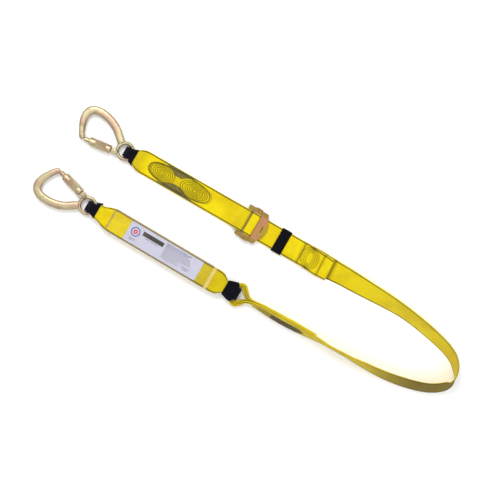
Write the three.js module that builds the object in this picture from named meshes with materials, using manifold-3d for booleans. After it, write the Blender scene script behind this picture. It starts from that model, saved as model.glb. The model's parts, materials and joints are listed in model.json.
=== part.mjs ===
// Adjustable webbing lanyard with an energy absorber: two triple-action steel connectors, a short strap,
// a sliding-bar adjuster, one long run of webbing that turns back on itself, and a folded tear-webbing pack.
// Millimetres, +Z up, laid out on a flat surface. Both straight runs lie along X; the long webbing leaves
// the adjuster along +X, turns over on to its edge, bends round and comes back along -X to the absorber.
import * as THREE from "three";
import { mergeVertices } from "three/addons/utils/BufferGeometryUtils.js";
import Module from "manifold-3d";

const wasm = await Module();
wasm.setup();

// Driving dimensions.
const GAP = 0.35; // running clearance between touching pieces
const WEB = { width: 45, thick: 2.4 }; // polyester webbing
const PLY = WEB.thick + GAP; // pitch of webbing lying on webbing
const WEAR = { wall: 0.7, gap: 0.3 }; // woven wear sleeve round a webbing loop
const EYE = { radius: 15.3, wire: 3.4, height: 8.9 }; // captive eye of a connector, and its height
const STOCK = { half: 7.8, thick: 5.6 }; // half width and half thickness of the forged hook
const GATE = { x: 14.5, y: -14.7, angle: -22, hinge: 1.8, rod: 4.3, tip: 4.5, tongue: 4 };
const LOCK = { start: 7.4, end: 50, outer: 8.5, bore: 6.6, travel: 4.5 }; // locking sleeve along the gate
const COLLAR = { start: 7.9, end: 19.4, outer: 6.3, bore: 4.65, flange: 7.2 };
const FRAME = {
  left: 255.5, lip: 285.8, right: 298, bottom: 7.1, thick: 4, inner: 24.2, outer: 31.8, corner: 5,
};
const LIP = { start: 1.5, bulge: 11.5, half: 21, full: 12, slot: [296.6, 299], slotHalf: 6 }; // thumb lip
const LOOP_BAR = { x: 260, half: 3.5, loop: 5.5 }; // fixed bar of the adjuster and the strap loop round it
const SLIDE_BAR = { left: 272.5, right: 282.2, bottom: 7, top: 11.6, ear: 33.4 };
const KEEPER = { x: 341.7, length: 20.4, wall: 1.1, ease: 0.9 };
const STOP = { fold: 449, inner: 386, raw: 428.5 }; // folded end of the adjusting tail, positions along X
const ABSORBER = { x: -10.5, y: -124.6, angle: -0.6 }; // origin of the absorber: the lower connector's eye
const PACK = { left: 66, right: 258, layers: 5, bottom: 5.1, pitch: 2.8, width: 43.5 };
const COVER = { left: 51.5, right: 275, bottom: 0.15, top: 22.1, wall: 0.5, half: 23.4 };
const LEG = { low: 2.2, high: 19.4 }; // heights of the loop straps below and above the folded pack
const LABEL = { left: 87.5, length: 157, width: 39, thick: 0.3 };
const LINK = { x: 322.5, height: 10.6, grip: 8.2 }; // rear loop of the absorber, round the gathered webbing

const COLOURS = {
  gold: { color: 0xc3af7d, roughness: 0.35, metalness: 0.9 },
  copper: { color: 0xc8965a, roughness: 0.35, metalness: 0.9 },
  steel: { color: 0x9a9a98, roughness: 0.3, metalness: 1 },
  yellow: { color: 0xe8d81a, roughness: 0.85, metalness: 0 },
  black: { color: 0x14121c, roughness: 0.9, metalness: 0 },
  thread: { color: 0x3c3a34, roughness: 0.9, metalness: 0 },
  label: { color: 0xc8c8d7, roughness: 0.5, metalness: 0 },
  clear: { color: 0xf0f0e8, roughness: 0.15, metalness: 0 },
};
const materials = Object.fromEntries(
  Object.entries(COLOURS).map(([name, look]) => [name, new THREE.MeshStandardMaterial(look)]),
);

const vec = (x, y, z) => new THREE.Vector3(x, y, z);
const rad = THREE.MathUtils.degToRad;

// ---------- closed surfaces ----------

// An indexed surface, turned so that its faces point out.
function surface(points, index) {
  const corner = (i) => points[index[i]];
  let volume = 0;
  for (let i = 0; i < index.length; i += 3)
    volume += corner(i).dot(corner(i + 1).clone().cross(corner(i + 2)));
  if (volume < 0) index.reverse();
  const geometry = new THREE.BufferGeometry().setFromPoints(points);
  return geometry.setIndex(index);
}

// Joins rings of equal length. An open loft gets flat ends; a looped one joins its last ring to its first.
function loft(rings, looped = false) {
  const around = rings[0].length;
  const index = [];
  const spans = looped ? rings.length : rings.length - 1;
  for (let i = 0; i < spans; i++)
    for (let j = 0; j < around; j++) {
      const next = (j + 1) % around;
      const here = i * around;
      const there = ((i + 1) % rings.length) * around;
      index.push(here + j, here + next, there + next, here + j, there + next, there + j);
    }
  const last = (rings.length - 1) * around;
  for (let j = 1; !looped && j < around - 1; j++)
    index.push(0, j + 1, j, last, last + j, last + j + 1);
  return surface(rings.flat(), index);
}

// A tube with a wall, open at both ends.
const hollowLoft = (outer, inner) => loft([...outer, ...inner.toReversed()], true);

// Section of webbing: a rectangle with eased edges, square to the run of the webbing.
function webSection({ at, along, side, width, thick }, grow = 0) {
  const normal = along.clone().cross(side).normalize();
  const half = width / 2 + grow;
  const deep = thick / 2 + grow;
  const ease = Math.min(half, deep) * 0.55;
  const corners = [
    [half, deep - ease], [half - ease, deep], [ease - half, deep], [-half, deep - ease],
    [-half, ease - deep], [ease - half, -deep], [half - ease, -deep], [half, ease - deep],
  ];
  return corners.map(([s, n]) => at.clone().addScaledVector(side, s).addScaledVector(normal, n));
}

const webbing = (stations, looped = false) => loft(stations.map((s) => webSection(s)), looped);

const wearSleeve = (stations) =>
  hollowLoft(
    stations.map((s) => webSection(s, WEAR.gap + WEAR.wall)),
    stations.map((s) => webSection(s, WEAR.gap)),
  );

// Fills in each station's direction from its neighbours.
function aligned(stations, looped = false) {
  const count = stations.length;
  stations.forEach((station, i) => {
    const before = stations[looped ? (i + count - 1) % count : Math.max(i - 1, 0)];
    const after = stations[looped ? (i + 1) % count : Math.min(i + 1, count - 1)];
    station.along = after.at.clone().sub(before.at).normalize();
  });
  return stations;
}

// Stations of a strap that runs in an X-Z plane, from [x, z, width] points.
const inProfile = (points) =>
  points.map(([x, z, width = WEB.width]) => (
    { at: vec(x, 0, z), side: vec(0, 1, 0), width, thick: WEB.thick }
  ));

// Smooths [x, z, width] points with a curve that passes through them all.
function smooth(points, steps) {
  const places = points.map(([x, z, width]) => vec(x, z, width));
  const curve = new THREE.CatmullRomCurve3(places, false, "centripetal");
  return curve.getPoints(steps).map((p) => p.toArray());
}

function solid(geometry) {
  const bare = geometry.clone();
  bare.deleteAttribute("normal");
  bare.deleteAttribute("uv");
  const merged = mergeVertices(bare, 1e-4);
  const vertProperties = merged.attributes.position.array;
  const triVerts = new Uint32Array(merged.index.array);
  return new wasm.Manifold(new wasm.Mesh({ numProp: 3, vertProperties, triVerts }));
}

function fromSolid(manifold) {
  const made = manifold.getMesh();
  const geometry = new THREE.BufferGeometry();
  geometry.setAttribute("position", new THREE.BufferAttribute(new Float32Array(made.vertProperties), 3));
  return geometry.setIndex([...made.triVerts]);
}

const joined = (base, ...others) =>
  fromSolid(others.reduce((whole, other) => whole.add(solid(other)), solid(base)));
const cut = (base, ...cutters) =>
  fromSolid(cutters.reduce((rest, cutter) => rest.subtract(solid(cutter)), solid(base)));

// A box given by its limits along each axis.
function block(x, y, z) {
  const box = new THREE.BoxGeometry(x[1] - x[0], y[1] - y[0], z[1] - z[0]);
  return box.translate((x[0] + x[1]) / 2, (y[0] + y[1]) / 2, (z[0] + z[1]) / 2);
}

// A turned piece along X, from [position, radius] points of its profile.
function turned(profile, segments = 20) {
  const outline = profile.map(([along, radius]) => new THREE.Vector2(radius, along));
  return new THREE.LatheGeometry(outline, segments).rotateZ(-Math.PI / 2);
}

// An upright cylinder.
const post = (x, y, radius, low, high, segments = 20) =>
  new THREE.CylinderGeometry(radius, radius, high - low, segments)
    .rotateX(Math.PI / 2)
    .translate(x, y, (low + high) / 2);

// A coil spring about X, with a wire of five sides.
function coil(start, end, radius, wire, turns) {
  const steps = Math.round(turns * 10);
  const rings = Array.from({ length: steps + 1 }, (_, i) => {
    const angle = (i / steps) * turns * 2 * Math.PI;
    const out = vec(0, Math.cos(angle), Math.sin(angle));
    const along = start + wire + (i / steps) * (end - start - 2 * wire);
    const centre = vec(along, 0, 0).addScaledVector(out, radius);
    return Array.from({ length: 5 }, (_, j) => {
      const turn = (j / 5) * 2 * Math.PI;
      const round = vec(wire * Math.sin(turn), 0, 0);
      return centre.clone().addScaledVector(out, wire * Math.cos(turn)).add(round);
    });
  });
  return loft(rings);
}

function part(name, geometry, material) {
  const mesh = new THREE.Mesh(geometry, materials[material]);
  mesh.name = name;
  return mesh;
}

function group(...children) {
  const made = new THREE.Group();
  made.add(...children);
  return made;
}

// ---------- connector: eye centre at the origin, hook along +X, spine towards +Y ----------

// Centre line of the hook from the eye to the nose, with the half width of the stock.
const HOOK = [
  [15.5, 6.5, 7], [24, 10.6, 7.8], [31, 14.3, 7.8], [40, 18.3, STOCK.half], [50, 21, STOCK.half],
  [62, 22.4, STOCK.half], [74, 22, STOCK.half], [85, 19.8, STOCK.half], [94.5, 15.2, STOCK.half],
  [100.6, 8, STOCK.half], [101.6, -1, STOCK.half], [99, -10.5, 7.3], [94.4, -18.6, 6.7], [88.6, -26.6, 6],
  [83, -33, 5.5], [78.6, -37, 5.4], [74.6, -39.6, 5.3],
];

// Oval section of the forging with a flattened top and bottom.
function hookSection(point, along, half) {
  const across = vec(-along.y, along.x, 0);
  const sides = 12;
  const round = (value) => Math.sign(value) * Math.abs(value) ** 0.8;
  return Array.from({ length: sides }, (_, i) => {
    const angle = ((i + 0.5) / sides) * 2 * Math.PI;
    const height = Math.min(STOCK.thick, half);
    return point
      .clone()
      .addScaledVector(across, half * round(Math.cos(angle)))
      .add(vec(0, 0, height * round(Math.sin(angle))));
  });
}

function hookForging() {
  const places = HOOK.map(([x, y, half]) => vec(x, y, half));
  const curve = new THREE.CatmullRomCurve3(places, false, "centripetal");
  const points = curve.getPoints(26);
  const centres = points.map((p) => vec(p.x, p.y, 0));
  const rings = centres.map((centre, i) => {
    const before = centres[Math.max(i - 1, 0)];
    const after = centres[Math.min(i + 1, centres.length - 1)];
    return hookSection(centre, after.clone().sub(before).normalize(), points[i].z);
  });
  return loft(rings);
}

// Moves a shape made along the gate (X from the hinge to the nose) into the connector's frame.
const alongGate = (geometry) => geometry.rotateZ(rad(GATE.angle)).translate(GATE.x, GATE.y, 0);

const LUG = { radius: 6, half: 6, slotLow: -4.6, slotHigh: 2.3, relief: 3.8 };
const NOSE = { blade: 62.1, pocket: 65.6, back: 69.9, floor: -6, reach: 22, bladeHalf: 2, pocketHalf: 3.4 };
const SEAT = { x: 94.7, length: 6, low: -3, high: 8 }; // flat load seat inside the bow

function connectorBody() {
  const eye = new THREE.TorusGeometry(EYE.radius, EYE.wire, 10, 28);
  const lug = post(GATE.x, GATE.y, LUG.radius, -LUG.half, LUG.half);
  const forging = joined(hookForging(), eye, lug);
  const { slotLow, slotHigh, relief, radius } = LUG;
  const slot = alongGate(block([0, 13], [-radius - 1, radius + 4], [slotLow, slotHigh]));
  const knuckle = post(GATE.x, GATE.y, relief, slotLow, slotHigh);
  const rivetHole = post(GATE.x, GATE.y, GATE.hinge + 0.3, -9, 9);
  const { blade, pocket, back, floor, reach, bladeHalf, pocketHalf } = NOSE;
  const bladeSlot = alongGate(block([blade - 6, back], [floor, reach], [-bladeHalf, bladeHalf]));
  const pinPocket = alongGate(block([pocket, back], [floor, reach], [-pocketHalf, pocketHalf]));
  const seat = block([SEAT.x - SEAT.length, SEAT.x], [SEAT.low, SEAT.high], [-2.2, 2.2]);
  return cut(forging, slot, knuckle, rivetHole, bladeSlot, pinPocket, seat);
}

// Gate arm along X: tongue on the hinge rivet, round rod, spring shoulder, slim tip, blade, cross pin.
function gateArm() {
  const rod = turned([
    [6.6, 0], [6.6, GATE.rod], [46.5, GATE.rod], [46.5, 6], [49, 6], [49, GATE.tip],
    [60, GATE.tip], [60.6, GATE.tip - 0.6], [60.6, 0],
  ]);
  const half = GATE.tongue / 2;
  const tongue = joined(block([0, 8], [-3.4, 3.4], [-half, half]), post(0, 0, 3.4, -half, half));
  const blade = block([60, 69.3], [-2.4, 2.4], [-1.65, 1.65]);
  const crossPin = post(67.8, 0, 1.4, -3, 3, 12);
  const whole = joined(rod, tongue, blade, crossPin);
  return cut(whole, post(0, 0, GATE.hinge + 0.3, -9, 9), post(GUIDE.at, 0, GUIDE.radius + 0.3, -9, 9, 12));
}

const GUIDE = { at: 14.4, radius: 1 }; // cross pin of the gate that stops the collar from turning

// Collar that slides on the gate with the locking sleeve but can't turn; its slot runs on the guide pin.
function lockCollar() {
  const { start, end, outer, bore, flange } = COLLAR;
  const ring = turned([
    [start, bore], [start, outer], [end - 2, outer], [end - 2, flange], [end, flange], [end, bore],
    [start, bore],
  ]);
  return cut(ring, block([start - 1, GUIDE.at + 1.4], [-1.4, 1.4], [-8, 8]));
}

// Locking sleeve with a grooved grip, and an inner groove that holds the collar's flange.
function lockSleeve() {
  const { start, end, outer, bore } = LOCK;
  const groove = COLLAR.flange + 0.4;
  const grip = [12, 15, 40, 43].flatMap((x) => [
    [x - 0.8, outer], [x - 0.4, outer - 0.5], [x + 0.4, outer - 0.5], [x + 0.8, outer],
  ]);
  return turned([
    [start, bore], [start, outer - 1], [start + 1, outer], ...grip,
    [end - 1, outer], [end, outer - 1], [end, bore],
    [COLLAR.end + 0.3, bore], [COLLAR.end + 0.3, groove],
    [COLLAR.end - 2.3, groove], [COLLAR.end - 2.3, bore], [start, bore],
  ], 18);
}

// Hinge rivet with domed heads.
function rivet() {
  const head = LUG.half + GAP;
  return turned([
    [-head - 0.9, 0], [-head - 0.6, 2.2], [-head, 2.9], [-head, GATE.hinge], [head, GATE.hinge],
    [head, 2.9], [head + 0.6, 2.2], [head + 0.9, 0],
  ], 16).rotateY(Math.PI / 2);
}

function connector(prefix) {
  const springs = {
    gate: coil(2.3, 4.3, 3, 0.3, 1.75).rotateY(Math.PI / 2),
    sleeve: coil(COLLAR.end + LOCK.travel + 0.4, 46.2, 5.5, 0.55, 4),
  };
  const gate = group(
    part(`${prefix}_gate_arm`, gateArm(), "gold"),
    part(`${prefix}_hinge_rivet`, rivet(), "steel"),
    part(`${prefix}_gate_spring`, springs.gate, "steel"),
    part(`${prefix}_guide_pin`, post(GUIDE.at, 0, GUIDE.radius, -6, 6, 12), "steel"),
    part(`${prefix}_lock_collar`, lockCollar(), "steel"),
    part(`${prefix}_lock_sleeve`, lockSleeve(), "gold"),
    part(`${prefix}_sleeve_spring`, springs.sleeve, "steel"),
  );
  gate.position.set(GATE.x, GATE.y, 0);
  gate.rotation.z = rad(GATE.angle);
  return group(part(`${prefix}_connector_body`, connectorBody(), "gold"), gate);
}

// ---------- webbing loop on a connector's eye ----------

// Centre line of a strap where it goes round the eye: [x from the wire, height, width], from below to above.
const EYE_LOOP = smooth([
  [7.7, 2.35, 28], [0, 2.35, 25.5], [-8, 2.9, 22.5], [-12.8, 5.6, 20], [-14.6, 10.5, 19.4],
  [-13.2, 16, 19.4], [-8.6, 20.4, 19.4], [-2, 21.9, 19.8], [3.5, 21.2, 24], [7.7, 19.8, 28],
], 18);
const fromWire = (points) => points.map(([x, z, width]) => [x + EYE.radius, z, width]);
const eyeLoopStations = () => aligned(inProfile(fromWire(EYE_LOOP)));

// ---------- short strap between the upper connector and the adjuster ----------

const STRAP = { low: 1.35, high: 1.35 + PLY, bend: 225 };

function shortStrap() {
  const barHeight = FRAME.bottom + FRAME.thick / 2;
  const roundBar = Array.from({ length: 7 }, (_, i) => {
    const angle = Math.PI * (0.5 - i / 6);
    const { x, loop } = LOOP_BAR;
    return [x + loop * Math.cos(angle), barHeight + loop * Math.sin(angle), WEB.width];
  });
  const stations = inProfile([
    ...fromWire(EYE_LOOP),
    ...fromWire([[13, 15.5, 37], [20, 9, 43], [28, STRAP.high + 0.4, WEB.width]]),
    [60, STRAP.high], [STRAP.bend, STRAP.high], [240, 7.6], [251, 13.2],
    ...roundBar,
    [251, 2.4], [240, STRAP.low], [60, STRAP.low],
    ...fromWire([[28, STRAP.low, WEB.width], [19, 1.5, 41]]),
  ]);
  return webbing(aligned(stations, true), true);
}

// Flat racetrack of thread that stands for the oval rows of stitching.
function shortStrapStitching() {
  const [left, right, outer, inner] = [52.8, 181.4, 16.5, 8];
  const racetrack = (shape, radius) => {
    shape.absarc(right - outer, 0, radius, -Math.PI / 2, Math.PI / 2);
    shape.absarc(left + outer, 0, radius, Math.PI / 2, (3 * Math.PI) / 2);
    return shape;
  };
  const outline = racetrack(new THREE.Shape(), outer);
  outline.holes.push(racetrack(new THREE.Path(), inner));
  const thread = new THREE.ExtrudeGeometry(outline, { depth: 0.4, bevelEnabled: false, curveSegments: 10 });
  return thread.translate(0, 0, STRAP.high + WEB.thick / 2 + GAP);
}

// ---------- sliding-bar adjuster ----------

// The frame: a rectangle whose far end bulges into a thumb lip, with the webbing window and the lip slot.
function adjusterFrame() {
  const { left, right, lip, inner, outer, bottom, thick, corner } = FRAME;
  const { start, bulge, half, full, slot, slotHalf } = LIP;
  const plan = new THREE.Shape();
  plan.moveTo(left, -outer);
  plan.lineTo(right - corner, -outer);
  plan.quadraticCurveTo(right, -outer, right, corner - outer);
  plan.lineTo(right + start, -half);
  plan.bezierCurveTo(right + bulge, -full, right + bulge, full, right + start, half);
  plan.lineTo(right, outer - corner);
  plan.quadraticCurveTo(right, outer, right - corner, outer);
  plan.lineTo(left, outer);
  const windowHole = new THREE.Path().moveTo(LOOP_BAR.x + LOOP_BAR.half, -inner);
  windowHole.lineTo(LOOP_BAR.x + LOOP_BAR.half, inner).lineTo(lip, inner).lineTo(lip, -inner);
  const lipSlot = new THREE.Path().moveTo(slot[0], -slotHalf).lineTo(slot[0], slotHalf);
  lipSlot.lineTo(slot[1], slotHalf).lineTo(slot[1], -slotHalf);
  plan.holes.push(windowHole, lipSlot);
  const plate = new THREE.ExtrudeGeometry(plan, { depth: thick, bevelEnabled: false, curveSegments: 8 });
  const notch = block([left - 1, LOOP_BAR.x - LOOP_BAR.half], [-inner, inner], [0, 20]);
  return cut(plate.translate(0, 0, bottom), notch);
}

// Clamping bar between the side arms, with an ear round each arm.
function slidingBar() {
  const { left, right, bottom, top, ear } = SLIDE_BAR;
  const middle = (bottom + top) / 2;
  const section = Array.from({ length: 12 }, (_, i) => {
    const angle = ((i + 0.5) / 12) * 2 * Math.PI;
    const round = (value) => Math.sign(value) * Math.abs(value) ** 0.55;
    return [(left + right) / 2 + ((right - left) / 2) * round(Math.cos(angle)),
      middle + ((top - bottom) / 2) * round(Math.sin(angle))];
  });
  const rings = [-FRAME.inner + 0.4, FRAME.inner - 0.4].map((y) => section.map(([x, z]) => vec(x, y, z)));
  const ears = [-1, 1].map((sign) => {
    const y = [sign * 22.9, sign * ear].sort((a, b) => a - b);
    return block([left - 3.5, right + 0.6], y, [bottom - 1.7, top + 1.3]);
  });
  const arms = [-1, 1].map((sign) => {
    const y = [sign * (FRAME.inner - 0.4), sign * (FRAME.outer + 0.4)].sort((a, b) => a - b);
    return block([left - 10, right + 10], y, [FRAME.bottom - 0.35, FRAME.bottom + FRAME.thick + 0.35]);
  });
  return cut(joined(loft(rings), ...ears), ...arms);
}

// ---------- long webbing ----------

// Ground edge of the long webbing: [x, y, lean of its width from the ground in degrees, lift].
const ROUTE = [
  [290, -22.5, 0, 1.2], [340, -22.5, 0, 1.2], [385, -22.5, 0, 1.2], [405, -21.8, 3, 0.5],
  [422, -21, 9, 0], [438, -20, 18, 0], [457, -18.4, 27, 0], [479, -16.7, 33, 0],
  [501, -15.9, 37, 0], [522, -14.8, 41.5, 0], [544, -13.6, 46, 0], [566, -12.2, 50.5, 0],
  [589, -11.2, 56, 0], [613, -11.6, 60, 0], [636, -13.9, 62, 0], [661, -17.8, 63, 0],
  [687, -22.8, 65, 0], [705, -27, 67, 0], [722, -32.4, 71, 0], [736, -39.6, 79, 0],
  [748, -50, 90, 0], [756.4, -61, 102, 0], [759.4, -73, 112, 0], [754.7, -86.5, 117, 0],
  [740, -100.3, 118, 0], [720, -111.2, 117, 0], [695, -119.4, 116, 0], [670, -125, 115, 0],
  [646, -128.5, 113, 0], [619, -130.3, 110, 0], [591, -130.4, 106, 0], [566, -129.8, 101, 0],
  [543, -129, 98, 0.3], [521, -129.2, 97, 0.9], [499, -130.2, 100, 1], [481, -131.8, 104, 1],
  [456, -134.4, 108, 1], [433, -136, 110, 1], [412, -136.5, 110, 1], [390, -136, 108, 1],
];
const FAR_POINT = 22; // index of the point furthest along X, where the webbing turns back
const routeEdge = new THREE.CatmullRomCurve3(ROUTE.map(([x, y]) => vec(x, y, 0)), false, "centripetal");
const routeLean = new THREE.CatmullRomCurve3(ROUTE.map(([, , lean, lift]) => vec(lean, lift, 0)));

// The webbing's frame at a point of the route: its ground edge, and its width, run and face directions.
function routeFrame(t) {
  const lean = routeLean.getPoint(t);
  const angle = rad(lean.x);
  const along = routeEdge.getTangent(t).normalize();
  const side = vec(-along.y, along.x, 0).multiplyScalar(Math.cos(angle)).add(vec(0, 0, Math.sin(angle)));
  const edge = routeEdge.getPoint(t);
  edge.z = 0.1 + lean.y + (WEB.thick / 2) * Math.abs(Math.cos(angle));
  return { edge, side, along, face: along.clone().cross(side) };
}

// A station of webbing at a point of the route, offset across its face by some plies and along its width.
function routeStation(t, plies = 0, shift = 0, size = {}) {
  const { edge, side, face } = routeFrame(t);
  const at = edge.clone().addScaledVector(side, WEB.width / 2 + shift).addScaledVector(face, plies * PLY);
  return { at, side, width: WEB.width, thick: WEB.thick, ...size };
}

// Point of the outgoing or the returning half of the route with a given X.
function routeAt(x, returning = false) {
  const turn = FAR_POINT / (ROUTE.length - 1);
  let [low, high] = returning ? [1, turn] : [0, turn];
  for (let i = 0; i < 40; i++) {
    const middle = (low + high) / 2;
    if (routeEdge.getPoint(middle).x < x) low = middle;
    else high = middle;
  }
  return low;
}

const TAIL_SHIFT = -2; // the tail lies a little to one side of the webbing under it

// The tail stop: two folds on top of the tail, from the raw end to where the tail leaves for the adjuster.
function tailStations() {
  const shift = (x) => TAIL_SHIFT * THREE.MathUtils.smoothstep(x, 385, 425);
  const at = (x, plies) => routeStation(routeAt(x), plies, shift(x));
  const bend = PLY / 2;
  const fold = (x, plies, sign) =>
    [0.5, 0, -0.5].map((h) => at(x + sign * bend * Math.cos(h * Math.PI), plies + h * 0.98));
  const steps = [398, 410, 420];
  return [
    at(STOP.raw, 3), ...steps.toReversed().map((x) => at(x, 3)),
    ...fold(STOP.inner + 1.5, 2.5, -1),
    ...steps.map((x) => at(x, 2)), at(432, 2), at(441, 2),
    ...fold(STOP.fold - 2.6, 1.5, 1),
    at(441, 1), at(432, 1), ...steps.toReversed().map((x) => at(x, 1)), at(STOP.inner, 1), at(300, 1),
  ];
}

// Round the sliding bar: from under the thumb lip, up in front of the bar, over it, down and under it.
const BAR_WRAP = smooth([
  [289, 5.2, WEB.width], [286.2, 5.15, WEB.width], [284.2, 6.1, WEB.width], [283.8, 8.2, WEB.width],
  [283.8, 10.6, WEB.width], [282, 12.9, WEB.width], [277, 13.3, WEB.width], [272.5, 13.2, WEB.width],
  [269.9, 12, WEB.width], [268.8, 9, WEB.width], [269.8, 5.9, WEB.width], [273, 4.4, WEB.width],
  [279, 3, WEB.width], [286, 2.5, WEB.width],
], 26);

// The loop through the absorber: the webbing is gathered into a thick strand as it nears the link.
// [x, y, height, width up, thickness, lean] for the half that comes in; the other mirrors it about the link.
const LINK_Y = -128;
const STRAND_IN = [
  [374, -128.7, 20.6, 41, 2.5, 17], [360, -129.3, 17.6, 34, 3, 14], [349, -129.9, 12.6, 22, 4, 9],
  [340, -131.9, 9, 13, 7.2, 3], [335, -135, 8.6, 10.5, 9.4, 0], [329, -141.2, 8.6, 9, 11.2, 0],
  [321.6, -147.2, 9.8, 7.4, 10, 0], [315, -144.6, 10, 7.4, 8, 0], [312.3, -140.4, 10, 7.4, 8, 0],
  [311.9, -134, 10, 7.4, 8, 0],
];
const mirrored = ([x, y, ...rest]) => [x, 2 * LINK_Y - y, ...rest];
const STRAND_OUT = [
  ...STRAND_IN.slice(3).toReversed().map(mirrored),
  [349, -125.3, 12.6, 22, 4, 9], [360, -125.9, 17.4, 34, 2.6, 14], [374, -125.8, 19.462, 41, 2.4, 17],
];
const upright = (lean) => vec(0, Math.sin(rad(lean)), Math.cos(rad(lean)));
const strand = (points) =>
  points.map(([x, y, z, width, thick, lean]) => ({ at: vec(x, y, z), side: upright(lean), width, thick }));

function longWebbing() {
  const steps = 66;
  const run = Array.from({ length: steps + 1 }, (_, i) => routeStation(i / steps));
  const back = [391, 402, 414, 428, 442, 456, 470, 486].map((x) => routeStation(routeAt(x, true), 1));
  return webbing(aligned([
    ...tailStations(), ...inProfile(BAR_WRAP), ...run,
    ...strand(STRAND_IN), ...strand(STRAND_OUT), ...back,
  ]));
}

const THREAD = 0.4;

// Ring stitching on top of the tail stop, and the long stitching on the outer face of the sewn loop.
function tailStitching() {
  const size = { width: 36, thick: THREAD };
  const lift = 3 + (WEB.thick / 2 + GAP + THREAD / 2) / PLY;
  const places = Array.from({ length: 29 }, (_, i) => 390 + i * 1.25);
  return webbing(aligned(places.map((x) => routeStation(routeAt(x), lift, TAIL_SHIFT, size))));
}

function loopStitching() {
  const size = { width: 34, thick: THREAD };
  const lift = -(WEB.thick / 2 + 2 * GAP + THREAD / 2) / PLY;
  const places = Array.from({ length: 22 }, (_, i) => 482 - i * 4.1);
  return webbing(aligned(places.map((x) => routeStation(routeAt(x, true), lift, 0, size))));
}

// Elastic keeper round the tail and the webbing under it.
function keeper() {
  const low = 0.1 + 1.2 - GAP;
  const high = 0.1 + 1.2 + WEB.thick + PLY + GAP;
  const half = WEB.width / 2 + KEEPER.ease;
  const box = (shape, grow) =>
    shape.moveTo(-half - grow, low - grow).lineTo(half + grow, low - grow)
      .lineTo(half + grow, high + grow).lineTo(-half - grow, high + grow);
  const section = box(new THREE.Shape(), KEEPER.wall);
  section.holes.push(box(new THREE.Path(), 0));
  const band = new THREE.ExtrudeGeometry(section, { depth: KEEPER.length, bevelEnabled: false });
  return band.rotateX(Math.PI / 2).rotateZ(Math.PI / 2).translate(KEEPER.x - KEEPER.length / 2, 0, 0);
}

// ---------- energy absorber: along +X from the lower connector's eye ----------

const FRONT_RAW = 150;
const REAR_RAW = 158;

function frontLoop() {
  const legs = (height) => fromWire([[17, height, 31], [26, height, 39], [38, height, WEB.width]]);
  return webbing(aligned(inProfile([
    [FRONT_RAW, LEG.low], ...legs(LEG.low).toReversed(), ...fromWire(EYE_LOOP),
    ...legs(LEG.high), [FRONT_RAW, LEG.high],
  ])));
}

// Rear loop: its legs fan out over and under the gathered webbing, and its bend narrows round it.
function rearLoopPoints() {
  const bend = [[-90, 38], [-60, 27], [-30, 23.5], [0, 23], [30, 23.5], [60, 24], [90, 36]];
  const round = bend.map(([degrees, width]) => [
    LINK.grip * Math.cos(rad(degrees)), LINK.height + LINK.grip * Math.sin(rad(degrees)), width,
  ]);
  const leg = (height) => [[-20, height, 26], [-14, height, 31], [-7, height, 35]];
  const points = [...leg(LINK.height - LINK.grip), ...round, ...leg(LINK.height + LINK.grip).toReversed()];
  return points.map(([x, z, width]) => [x + LINK.x, z, width]);
}

function rearLoop() {
  const legs = (height) => [
    [LINK.x - 26, height, 33], [LINK.x - 31, height, 41], [LINK.x - 39, height, WEB.width],
  ];
  return webbing(aligned(inProfile([
    [REAR_RAW, LEG.low], ...legs(LEG.low).toReversed(), ...rearLoopPoints(),
    ...legs(LEG.high), [REAR_RAW, LEG.high],
  ])));
}

// Tear webbing, folded to and fro in layers.
function tearPack() {
  const path = new THREE.Path();
  const { left, right, layers, bottom, pitch } = PACK;
  const bend = pitch / 2;
  path.moveTo(right, bottom);
  for (let layer = 0; layer < layers; layer++) {
    const height = bottom + layer * pitch;
    const leftward = layer % 2 === 0;
    path.lineTo(leftward ? left + bend + 1.2 : right - bend - 1.2, height);
    if (layer === layers - 1) break;
    const centre = leftward ? left + bend + 1.2 : right - bend - 1.2;
    const end = leftward ? -1.5 * Math.PI : Math.PI / 2;
    path.absarc(centre, height + bend, bend, -Math.PI / 2, end, leftward);
  }
  const points = path.getPoints(4).map((p) => [p.x, p.y, PACK.width]);
  return webbing(aligned(inProfile(points)));
}

// Clear sleeve over the pack, open at both ends.
function clearCover() {
  const { left, right, bottom, top, wall, half } = COVER;
  const ring = (x, inset) => {
    const [w, low, high, ease] = [half - inset, bottom + inset, top - inset, 1];
    return [[w, low + ease], [w, high - ease], [w - ease, high], [ease - w, high],
      [-w, high - ease], [-w, low + ease], [ease - w, low], [w - ease, low]].map(([y, z]) => vec(x, y, z));
  };
  return hollowLoft([left, right].map((x) => ring(x, 0)), [left, right].map((x) => ring(x, wall)));
}

function label() {
  const low = LEG.high + WEB.thick / 2 + GAP;
  const { left, length, width, thick } = LABEL;
  return block([left, left + length], [-width / 2, width / 2], [low, low + thick]);
}

function absorber() {
  const made = group(
    part("absorber_front_loop", frontLoop(), "yellow"),
    part("absorber_rear_loop", rearLoop(), "yellow"),
    part("absorber_front_wear_sleeve", wearSleeve(eyeLoopStations()), "black"),
    part("absorber_rear_wear_sleeve", wearSleeve(aligned(inProfile(rearLoopPoints()))), "black"),
    part("tear_webbing_pack", tearPack(), "yellow"),
    part("absorber_label", label(), "label"),
    part("absorber_clear_cover", clearCover(), "clear"),
  );
  made.position.set(ABSORBER.x, ABSORBER.y, 0);
  made.rotation.z = rad(ABSORBER.angle);
  return made;
}

// ---------- assembly ----------

// The upper connector lies turned over, with its gate towards the lower one.
function placedConnectors() {
  const upper = connector("upper");
  upper.rotation.set(Math.PI, 0, rad(165), "ZYX");
  upper.position.set(0, 0, EYE.height);
  const lower = connector("lower");
  lower.rotation.z = rad(186.2);
  lower.position.set(ABSORBER.x, ABSORBER.y, EYE.height);
  return [upper, lower];
}

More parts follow.
